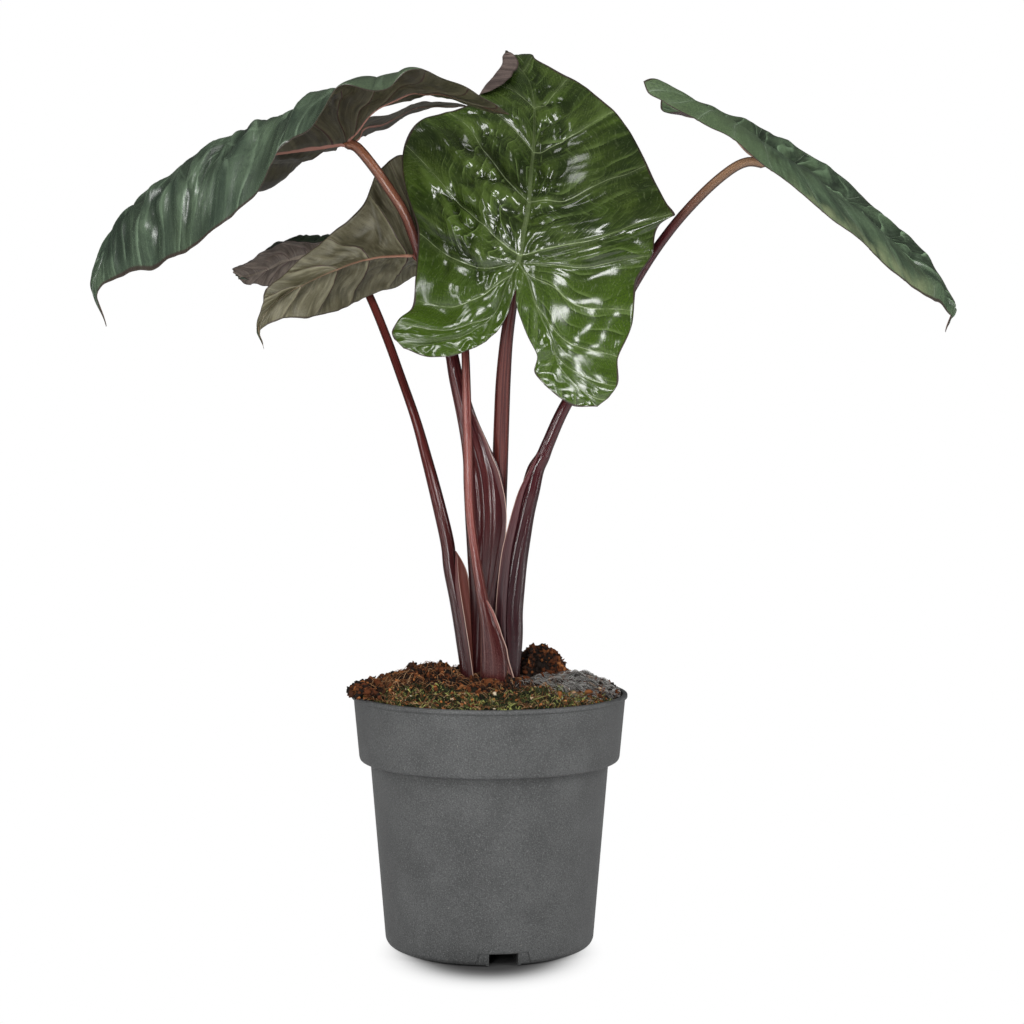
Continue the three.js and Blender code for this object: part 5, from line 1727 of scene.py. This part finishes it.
# How high above the floor the soil leaves room for the pot's channels, and where its top lies
CHANNEL_TOP = 9.6
SOIL_EDGE_Z = 150.4
SOIL_MIDDLE_Z = 161

# Each mound's middle, rise, spread and steepness
CLUMP = (32, 34, 17.5, 15, 6)
MOUNDS = [(-43, 6, 10, 28, 2), CLUMP, (60, 18, 7, 24, 2)]

# Waves over the soil: their height and how fast they go up and down along X and Y
SOIL_LUMPS = [(1.6, 0.31, 0.27), (0.8, 0.7, 0.5)]

# The pot's wall and the gap between it and the soil
POT_WALL = 1.5
SOIL_GAP = 0.3

# How far from the axis crumbs spill over the rim, fibres stand out at the left, the rim starts, and
# other fibres and threads lie
SPILL_REACH = (75, 87.5)
OVER_RIM = 92.0
RIM_START = 79.5
FIBRE_LIMIT = 80.5
THREAD_LIMIT = 80.8

# Corners round a fibre, a thread or a shoot of moss
TUBE_SIDES = 3


def soil_height(x, y):
    """Height of the soil: a low dome with a mound at the left and a clump at the back right."""
    share = np.minimum(np.hypot(x, y) / SOIL_RADIUS, 1)
    height = SOIL_EDGE_Z + (SOIL_MIDDLE_Z - SOIL_EDGE_Z) * np.cos(np.pi / 2 * share)
    for mound_x, mound_y, rise, spread, steepness in MOUNDS:
        height = height + rise * np.exp(-((np.hypot(x - mound_x, y - mound_y) / spread) ** steepness))
    for rise, per_x, per_y in SOIL_LUMPS:
        height = height + rise * np.sin(x * per_x + 1) * np.cos(y * per_y) * (1 - share**4)
    return height


def soft_patch(x, y, middle_x, middle_y, half_x, half_y, seed):
    """1 in the middle of an oval patch and 0 outside it, with a ragged edge."""
    away = np.hypot((x - middle_x) / half_x, (y - middle_y) / half_y)
    return np.clip(1.6 - 1.5 * away + 0.35 * lumps(x, y, 7, seed), 0, 1)


def from_clump(x, y):
    """The way to the middle of the clump at the back right, in shares of the clump's spread."""
    clump_x, clump_y, _, spread, _ = CLUMP
    return np.hypot(x - clump_x, y - clump_y) / spread


def web_share(x, y):
    patch = soft_patch(x, y, 46, -2, 40, 36, 71) * np.clip((x - 13) / 7, 0, 1)
    return patch * np.clip(from_clump(x, y) * 2 - 1.9, 0, 1)


def moss_share(x, y):
    radius = np.hypot(x, y)
    front = np.clip((radius - 38) / 14, 0, 1) * np.clip((-y - 20) / 14, 0, 1)
    return np.clip(front * (1.3 + 0.7 * lumps(x, y, 9, 73)), 0, 1)


def rough_height(x, y):
    """The soil's height with its own crumbly surface."""
    calm = 1 - 0.65 * web_share(x, y)
    crumbly = 2.1 * lumps(x, y, 6, 61) + 1.2 * lumps(x, y, 2.8, 62) + 0.4 * lumps(x, y, 1.3, 63)
    return soil_height(x, y) + crumbly * calm


def scattered(count, seed, wanted):
    """Random places on the soil, kept more often where the wanted share is high."""
    draw = np.random.default_rng(seed)
    places = []
    found = 0
    while found < count:
        radius = (SOIL_RADIUS - 1.2) * np.sqrt(draw.uniform(0, 1, count))
        turn = draw.uniform(0, 2 * np.pi, count)
        x, y = radius * np.cos(turn), radius * np.sin(turn)
        kept = draw.uniform(0, 1, count) < wanted(x, y)
        places.append(np.column_stack([x, y])[kept])
        found += kept.sum()
    return np.concatenate(places)[:count], draw


def turned(count, draw):
    """Random turns in space, as three by three matrices."""
    first = unit(draw.normal(0, 1, (count, 3)))
    second = draw.normal(0, 1, (count, 3))
    second = unit(second - first * (first * second).sum(1, keepdims=True))
    return np.stack([first, second, np.cross(first, second)], -1)


def pebble():
    """A small rounded form, an icosahedron: 12 points and 20 triangles."""
    form = bmesh.new()
    bmesh.ops.create_icosphere(form, subdivisions=1, radius=1)
    points = np.array([v.co[:] for v in form.verts])
    triangles = np.array([[v.index for v in face.verts] for face in form.faces])
    form.free()
    return points, triangles


def scatter_pieces(places, sizes, draw, ragged, stretch):
    """Many small lumps as one mesh, each stretched, turned and made ragged in its own way."""
    form, triangles = pebble()
    count = len(places)
    shapes = form[None] * (1 + draw.uniform(-ragged, ragged, (count, len(form), 1)))
    shapes = shapes * draw.uniform(1 / stretch, stretch, (count, 1, 3)) * sizes[:, None, None]
    points = np.einsum("nij,nkj->nki", turned(count, draw), shapes) + places[:, None]
    return points, triangles


def tubes(paths, radii):
    """Many thin tapering tubes as one mesh. Paths is one array: tubes, points along, 3."""
    count, steps = paths.shape[:2]
    along = unit(np.gradient(paths, axis=1))
    aside = unit(np.cross(along, np.array([0.31, 0.23, 0.92])))
    upward = np.cross(along, aside)
    angle = ring_angles(TUBE_SIDES)
    ring = aside[:, :, None] * np.cos(angle)[:, None] + upward[:, :, None] * np.sin(angle)[:, None]
    points = paths[:, :, None] + ring * radii[:, :, None, None]
    return points.reshape(count, -1, 3), loft_triangles(steps, TUBE_SIDES)


def loose_piece(name, shapes, shade, tints, grain_size):
    """Many like things on the soil as one piece, tinted by their own shades from dark to pale."""
    points, triangles = shapes
    count, each = points.shape[:2]
    every = triangles[None] + (np.arange(count) * each)[:, None, None]
    material = earth_material(f"soil_{name}", *tints, grain_size)
    values = {"shade": np.repeat(np.clip(shade, 0, 1), each)}
    return make_piece(name, points.reshape(-1, 3), every.reshape(-1, 3), [material], values)


def build_ground(settings):
    """The body of soil: a fine crumbly top over a plain side that fills the pot."""
    sides, rings = 330, 78
    inside = POT_WALL + SOIL_GAP
    ledge = COLLAR_FOOT_Z + inside
    side = [
        (body_radius(CHANNEL_TOP) - POT_WALL - 2, CHANNEL_TOP),
        (body_radius(CHANNEL_TOP + 3) - inside, CHANNEL_TOP + 3),
        (BODY_TOP_RADIUS - inside, ledge),
        (COLLAR_FOOT_RADIUS - inside, ledge),
    ]
    angle = ring_angles(sides)
    points = [np.column_stack([r * np.cos(angle), r * np.sin(angle), np.full(sides, z)]) for r, z in side]
    for radius in np.linspace(SOIL_RADIUS, 0.4, rings):
        x, y = radius * np.cos(angle), radius * np.sin(angle)
        points.append(np.column_stack([x, y, rough_height(x, y)]))
    points = np.concatenate(points)
    x, y = points[:, 0], points[:, 1]
    shade = np.clip(0.45 + 0.3 * lumps(x, y, 2.6, 62) + 0.2 * lumps(x, y, 9, 64), 0, 1)
    values = {"shade": shade, "web": web_share(x, y), "moss": moss_share(x, y)}
    triangles = loft_triangles(rings + len(side), sides)
    piece = make_piece("soil_bed", points, triangles, [ground_material(settings)], values)
    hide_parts("soil")
    return piece


def build_crumbs(settings):
    """Crumbs of coir and peat over the soil, few where the web and the moss lie, with more round the clump
    and some spilled on the rim.
    """

    def wanted(x, y):
        return np.clip(1 - 0.97 * web_share(x, y) - 0.9 * moss_share(x, y), 0.02, 1)

    places, draw = scattered(settings.crumbs, 81, wanted)
    x, y = places.T
    sizes = (0.3 + 0.85 * draw.uniform(0, 1, len(places)) ** 2.5) * (1 + 0.3 * lumps(x, y, 12, 82))
    lift = draw.uniform(-0.2, 1.0, len(places)) * sizes
    spots = [np.column_stack([x, y, rough_height(x, y) + lift])]
    clump_x, clump_y, _, clump_spread, _ = CLUMP
    turn = draw.uniform(0, 2 * np.pi, settings.clump_crumbs)
    away = clump_spread * draw.uniform(0.75, 1.25, settings.clump_crumbs)
    x, y = clump_x + away * np.cos(turn), clump_y + away * np.sin(turn)
    spots.append(np.column_stack([x, y, rough_height(x, y) + 0.3]))
    clump_sizes = draw.uniform(0.5, 1.3, settings.clump_crumbs)
    turn = math.pi + draw.normal(0.06, 0.24, settings.spilled)
    away = draw.uniform(*SPILL_REACH, settings.spilled)
    heap = RIM_TOP + 0.4 + draw.uniform(0, 5, settings.spilled) * np.cos((away - 79) / 9.5 * 1.5)
    spots.append(np.column_stack([away * np.cos(turn), away * np.sin(turn), heap]))
    sizes = np.concatenate([sizes, clump_sizes, draw.uniform(0.4, 1.2, settings.spilled)])
    spots = np.concatenate(spots)
    shapes = scatter_pieces(spots, sizes, draw, 0.45, 2.2)
    x, y = spots[:, 0], spots[:, 1]
    clumped = 0.3 * lumps(x, y, 5, 84) + 0.22 * lumps(x, y, 14, 83)
    shade = draw.normal(0.26, 0.32, len(spots)) + clumped
    tints = (settings.peat[:], settings.coir[:], paint(150, 94, 52))
    return loose_piece("coir_crumbs", shapes, shade, tints, 0.7)


def wandering(starts, headings, length, steps, bend, draw):
    """Paths that wander over the soil: tubes, points along, x and y."""
    count = len(starts)
    turns = headings[:, None] + np.cumsum(draw.normal(0, bend, (count, steps)), axis=1)
    moves = np.stack([np.cos(turns), np.sin(turns)], -1) * (length / (steps - 1))[:, None, None]
    moves[:, 0] = 0
    return starts[:, None] + np.cumsum(moves, axis=1)


def kept_within(flat, limit):
    """The x and y of places, drawn in to the limit where they lie further from the axis."""
    x, y = flat[..., 0], flat[..., 1]
    squeeze = np.minimum(1, limit / np.maximum(np.hypot(x, y), 1e-6))
    return x * squeeze, y * squeeze


def build_fibres(settings):
    """Short coir fibres, some of them standing out over the rim at the left."""

    def wanted(x, y):
        left = np.clip((-x - 40) / 25, 0, 1)
        return np.clip(0.35 + 0.65 * left - 0.5 * web_share(x, y), 0.05, 1) * (from_clump(x, y) > 1.5)

    places, draw = scattered(settings.fibres, 91, wanted)
    count = len(places)
    taper = np.array([0.6, 1, 1, 0.9, 0.7, 0.3])
    length = draw.uniform(3, 9, count)
    outward = np.arctan2(places[:, 1], places[:, 0])
    left = places[:, 0] < -66
    heading = np.where(left, outward + draw.normal(0, 0.7, count), draw.uniform(0, 2 * np.pi, count))
    flat = wandering(places, heading, length, len(taper), 0.28, draw)
    x, y = kept_within(flat, np.where(left, OVER_RIM, FIBRE_LIMIT)[:, None])
    arch = np.sin(np.linspace(0.1, 0.95, len(taper)) * np.pi) * draw.uniform(0.4, 2.2, count)[:, None]
    on_rim = np.where(np.hypot(x, y) > RIM_START, RIM_TOP + 0.4, 0)
    height = np.maximum(rough_height(x, y) + 0.5, on_rim) + arch
    radii = draw.uniform(0.11, 0.22, count)[:, None] * taper
    shade = draw.normal(0.5, 0.28, count)
    tints = (paint(58, 36, 22), paint(128, 84, 50), paint(186, 150, 112))
    return loose_piece("coir_fibres", tubes(np.stack([x, y, height], -1), radii), shade, tints, 1.4)


def build_web(settings):
    """The web of long grey threads that lies over the soil at the right."""
    places, draw = scattered(settings.threads, 101, lambda x, y: web_share(x, y) ** 1.3)
    count = len(places)
    taper = np.array([0.4, 0.8, 1, 1, 1, 1, 1, 0.7, 0.3])
    length = draw.uniform(8, 22, count)
    heading = np.arctan2(places[:, 1] + 4, places[:, 0] - 10) + draw.normal(0, 0.75, count)
    flat = wandering(places, heading, length, len(taper), 0.22, draw)
    flat = flat[from_clump(flat[..., 0], flat[..., 1]).min(1) > 1.2]
    count = len(flat)
    x, y = kept_within(flat, THREAD_LIMIT)
    paths = np.stack([x, y, rough_height(x, y) + draw.uniform(0.3, 1.3, count)[:, None]], -1)
    radii = draw.uniform(0.05, 0.12, count)[:, None] * taper
    shade = draw.normal(0.5, 0.36, count)
    tints = (paint(46, 44, 43), settings.web[:], paint(214, 213, 208))
    return loose_piece("grey_web", tubes(paths, radii), shade, tints, 1.5)


def build_moss(settings):
    """Short moss shoots along the front rim, green to yellow-green."""
    places, draw = scattered(settings.moss, 111, lambda x, y: moss_share(x, y) ** 1.4)
    x, y = places.T
    count = len(places)
    taper = np.array([0.8, 1, 0.8, 0.15])
    lean = draw.normal(0, 0.55, (count, 2))
    tall = draw.uniform(1.1, 3.6, count) * (1 + 0.35 * lumps(x, y, 6, 112))
    climb = np.linspace(0, 1, len(taper))
    foot = np.column_stack([x, y, rough_height(x, y) - 0.3])
    rise = np.column_stack([lean, np.ones(count)]) * tall[:, None]
    curl = np.column_stack([draw.normal(0, 0.3, (count, 2)), np.full(count, -0.25)]) * tall[:, None]
    paths = foot[:, None] + rise[:, None] * climb[:, None] + curl[:, None] * (climb**2)[:, None]
    radii = draw.uniform(0.16, 0.34, count)[:, None] * taper
    shade = draw.normal(0.4, 0.32, count) + 0.34 * lumps(x, y, 8, 113)
    tints = (paint(18, 21, 12), settings.green[:], paint(176, 180, 104))
    return loose_piece("moss_shoots", tubes(paths, radii), shade, tints, 1.6)


def build_chips(settings):
    """Bark chips and pale grains between the moss and along the rim."""
    places, draw = scattered(settings.chips, 121, lambda x, y: np.clip(moss_share(x, y) + 0.06, 0, 1))
    x, y = places.T
    sizes = draw.uniform(0.3, 0.85, len(places))
    shapes = scatter_pieces(np.column_stack([x, y, rough_height(x, y) + 0.9]), sizes, draw, 0.3, 1.9)
    shade = draw.uniform(0, 1, len(places)) ** 2
    tints = (paint(72, 44, 28), paint(178, 110, 58), paint(206, 196, 170))
    return loose_piece("bark_chips", shapes, shade, tints, 0.8)


# Stage


def area_light(name, place, target, size, power):
    """A soft rectangular light that faces its target. Sizes and places in metres."""
    light = bpy.data.lights.new(name, "AREA")
    light.shape = "RECTANGLE"
    light.size, light.size_y = size
    light.energy = power
    lamp = bpy.data.objects.new(name, light)
    lamp.location = place
    lamp.rotation_euler = (Vector(target) - Vector(place)).to_track_quat("-Z", "Y").to_euler()
    bpy.context.scene.collection.objects.link(lamp)


def blended(tree, share, first, second):
    return node(tree, "ShaderNodeMixShader", {0: share, 1: first, 2: second}).outputs[0]


def build_floor(settings):
    """A plain floor, which isn't part of the object: a painted shadow darkens it under and in front of the
    pot, and further off it is white. There the camera sees it as bright as the surround."""
    half = settings.floor_size / 2
    corners = [(-half, -half, 0), (half, -half, 0), (half, half, 0), (-half, half, 0)]
    mesh = bpy.data.meshes.new("floor")
    mesh.from_pydata(corners, [], [(0, 1, 2, 3)])
    floor = bpy.data.objects.new("floor", mesh)
    bpy.context.scene.collection.objects.link(floor)
    material, tree, shader = new_material("floor_white")
    place = tree.nodes.new("ShaderNodeTexCoord").outputs["Object"]
    nearer = node(tree, "ShaderNodeVectorMath", {0: place, 1: (0.0, 0.026, 0.0)}).outputs[0]
    oval = node(
        tree, "ShaderNodeVectorMath", {0: nearer, 1: (1.28, 1.0, 1.0)}, operation="MULTIPLY").outputs[0]
    away = node(tree, "ShaderNodeVectorMath", {0: oval}, operation="LENGTH").outputs["Value"]
    white = mixed(tree, speckle(tree, place, 0.8), (0.78, 0.78, 0.78, 1), (0.82, 0.82, 0.82, 1))
    wire(tree, shader, {
        # painted contact shadow: the base colour goes near black close to the pot
        "Base Color": mixed(tree, fade(tree, away, 0.04, 0.082), (0.07, 0.07, 0.07, 1), white),
        "Roughness": 0.9, "Specular IOR Level": 0.1,
    })
    glow = node(tree, "ShaderNodeEmission", {"Color": (1, 1, 1, 1), "Strength": 1.0}).outputs[0]
    seen = tree.nodes.new("ShaderNodeLightPath").outputs["Is Camera Ray"]
    share = times(tree, fade(tree, away, 0.05, 0.09), seen)
    surface = blended(tree, share, tree.nodes["Principled BSDF"].outputs[0], glow)
    wire(tree, tree.nodes["Material Output"].inputs, {"Surface": surface})
    mesh.materials.append(material)


def build_surround(settings):
    """Even white light from all round, brighter where the camera looks past the object."""
    world = bpy.data.worlds.new("surround")
    bpy.context.scene.world = world
    world.use_nodes = True
    tree = world.node_tree
    tree.nodes.clear()

    def white(strength):
        inputs = {"Color": (1, 1, 1, 1), "Strength": strength}
        return node(tree, "ShaderNodeBackground", inputs).outputs[0]

    ray = tree.nodes.new("ShaderNodeLightPath").outputs
    dimmed = blended(tree, ray["Is Glossy Ray"], white(settings.surround), white(settings.mirrored))
    shown = blended(tree, ray["Is Camera Ray"], dimmed, white(1.0))
    node(tree, "ShaderNodeOutputWorld", {"Surface": shown})


# Each light's place, what it faces, and its width and height, all in metres
LIGHTS = {
    "key_light": ((-1.15, -0.85, 1.3), (0, 0, 0.35), (0.4, 0.4)),
    "fill_light": ((1.3, -0.7, 1.1), (0, 0, 0.35), (0.35, 0.6)),
    "front_light": ((0.15, -1.35, 1.1), (0, 0, 0.3), (0.42, 0.3)),
    "low_light": ((-0.3, -1.3, 0.42), (0, 0, 0.14), (0.12, 0.5)),
    "top_light": ((-0.3, -0.5, 1.65), (0, 0, 0.45), (0.25, 0.2)),
    "left_strip": ((-1.05, -0.75, 0.5), (0, 0, 0.35), (0.1, 1.0)),
    "right_strip": ((1.15, -0.55, 0.5), (0, 0, 0.35), (0.1, 1.0)),
}

# The camera's lens and sensor, in millimetres, and its shift, in shares of the picture's width
LENS = 66.55
SENSOR = 36.0
SHIFT_RIGHT = 0.022
SHIFT_UP = -0.0615


def build_camera():
    """A level camera in front of the plant, at the height of its stalks."""
    data = bpy.data.cameras.new("camera")
    data.lens = LENS
    data.sensor_width = SENSOR
    data.sensor_fit = "HORIZONTAL"
    data.shift_x = SHIFT_RIGHT
    data.shift_y = SHIFT_UP
    camera = bpy.data.objects.new("camera", data)
    camera.location = (0, -EYE_DISTANCE * MM, EYE_HEIGHT * MM)
    camera.rotation_euler = (math.pi / 2, 0, 0)
    bpy.context.scene.collection.objects.link(camera)
    bpy.context.scene.camera = camera


# Operators


class ALOCASIA_OT_shared_groups(bpy.types.Operator):
    """Build the shader groups that the materials share"""

    bl_idname = "alocasia.shared_groups"
    bl_label = "Shader Groups"

    def execute(self, context):
        build_vein_group()
        build_stripe_group()
        build_wear_group()
        build_earth_group()
        return {"FINISHED"}


class ALOCASIA_OT_leaves(bpy.types.Operator):
    """Build the five leaf blades"""

    bl_idname = "alocasia.leaves"
    bl_label = "Leaves"

    def execute(self, context):
        for name, leaf in LEAVES.items():
            build_leaf(name, leaf, context.scene.alocasia_leaves)
        return {"FINISHED"}


class ALOCASIA_OT_stalks(bpy.types.Operator):
    """Build the five leaf stalks and the free margins of their sheaths"""

    bl_idname = "alocasia.stalks"
    bl_label = "Stalks"

    def execute(self, context):
        settings = context.scene.alocasia_stalks
        for name, stalk in STALKS.items():
            build_stalk(name, stalk, settings)
        for name, sheath in SHEATHS.items():
            build_sheath(name, sheath, settings)
        return {"FINISHED"}


class ALOCASIA_OT_pot(bpy.types.Operator):
    """Build the grower's pot"""

    bl_idname = "alocasia.pot"
    bl_label = "Pot"

    def execute(self, context):
        pot = build_pot(context.scene.alocasia_pot)
        if len(pot.data.polygons) < context.scene.alocasia_pot.sides:
            raise RuntimeError("the pot lost its walls while its ports were cut")
        return {"FINISHED"}


class ALOCASIA_OT_soil(bpy.types.Operator):
    """Build the soil, its crumbs and fibres, the web, the moss and the bark chips"""

    bl_idname = "alocasia.soil"
    bl_label = "Soil"

    def execute(self, context):
        settings = context.scene.alocasia_soil
        for build in (build_ground, build_crumbs, build_fibres, build_web, build_moss, build_chips):
            build(settings)
        return {"FINISHED"}


class ALOCASIA_OT_stage(bpy.types.Operator):
    """Build the floor, the lights and the camera"""

    bl_idname = "alocasia.stage"
    bl_label = "Stage"

    def execute(self, context):
        settings = context.scene.alocasia_stage
        build_floor(settings)
        build_surround(settings)
        for name, (place, target, size) in LIGHTS.items():
            area_light(name, place, target, size, getattr(settings, name))
        build_camera()
        context.scene.view_settings.view_transform = "Standard"
        return {"FINISHED"}


class ALOCASIA_PT_panel(bpy.types.Panel):
    """The pieces of the potted plant, in the order in which they are built"""

    bl_idname = "ALOCASIA_PT_panel"
    bl_label = "Potted Alocasia"
    bl_space_type = "VIEW_3D"
    bl_region_type = "UI"
    bl_category = "Alocasia"

    def draw(self, context):
        for operator in OPERATORS:
            self.layout.operator(operator.bl_idname)
        for group in SETTINGS:
            box = self.layout.box()
            box.label(text=group.title())
            settings = getattr(context.scene, f"alocasia_{group}")
            for key in settings.__annotations__:
                box.prop(settings, key)


SETTINGS = {
    "leaves": LeafSettings,
    "stalks": StalkSettings,
    "pot": PotSettings,
    "soil": SoilSettings,
    "stage": StageSettings,
}
OPERATORS = [
    ALOCASIA_OT_shared_groups,
    ALOCASIA_OT_stage,
    ALOCASIA_OT_pot,
    ALOCASIA_OT_soil,
    ALOCASIA_OT_stalks,
    ALOCASIA_OT_leaves,
]


def register():
    for cls in (*SETTINGS.values(), *OPERATORS, ALOCASIA_PT_panel):
        bpy.utils.register_class(cls)
    for name, cls in SETTINGS.items():
        setattr(bpy.types.Scene, f"alocasia_{name}", PointerProperty(type=cls))


def unregister():
    for name in SETTINGS:
        delattr(bpy.types.Scene, f"alocasia_{name}")
    for cls in (ALOCASIA_PT_panel, *reversed(OPERATORS), *reversed(list(SETTINGS.values()))):
        bpy.utils.unregister_class(cls)


def main():
    register()
    for operator in OPERATORS:
        group, name = operator.bl_idname.split(".")
        getattr(getattr(bpy.ops, group), name)()


if __name__ == "__main__":
    main()
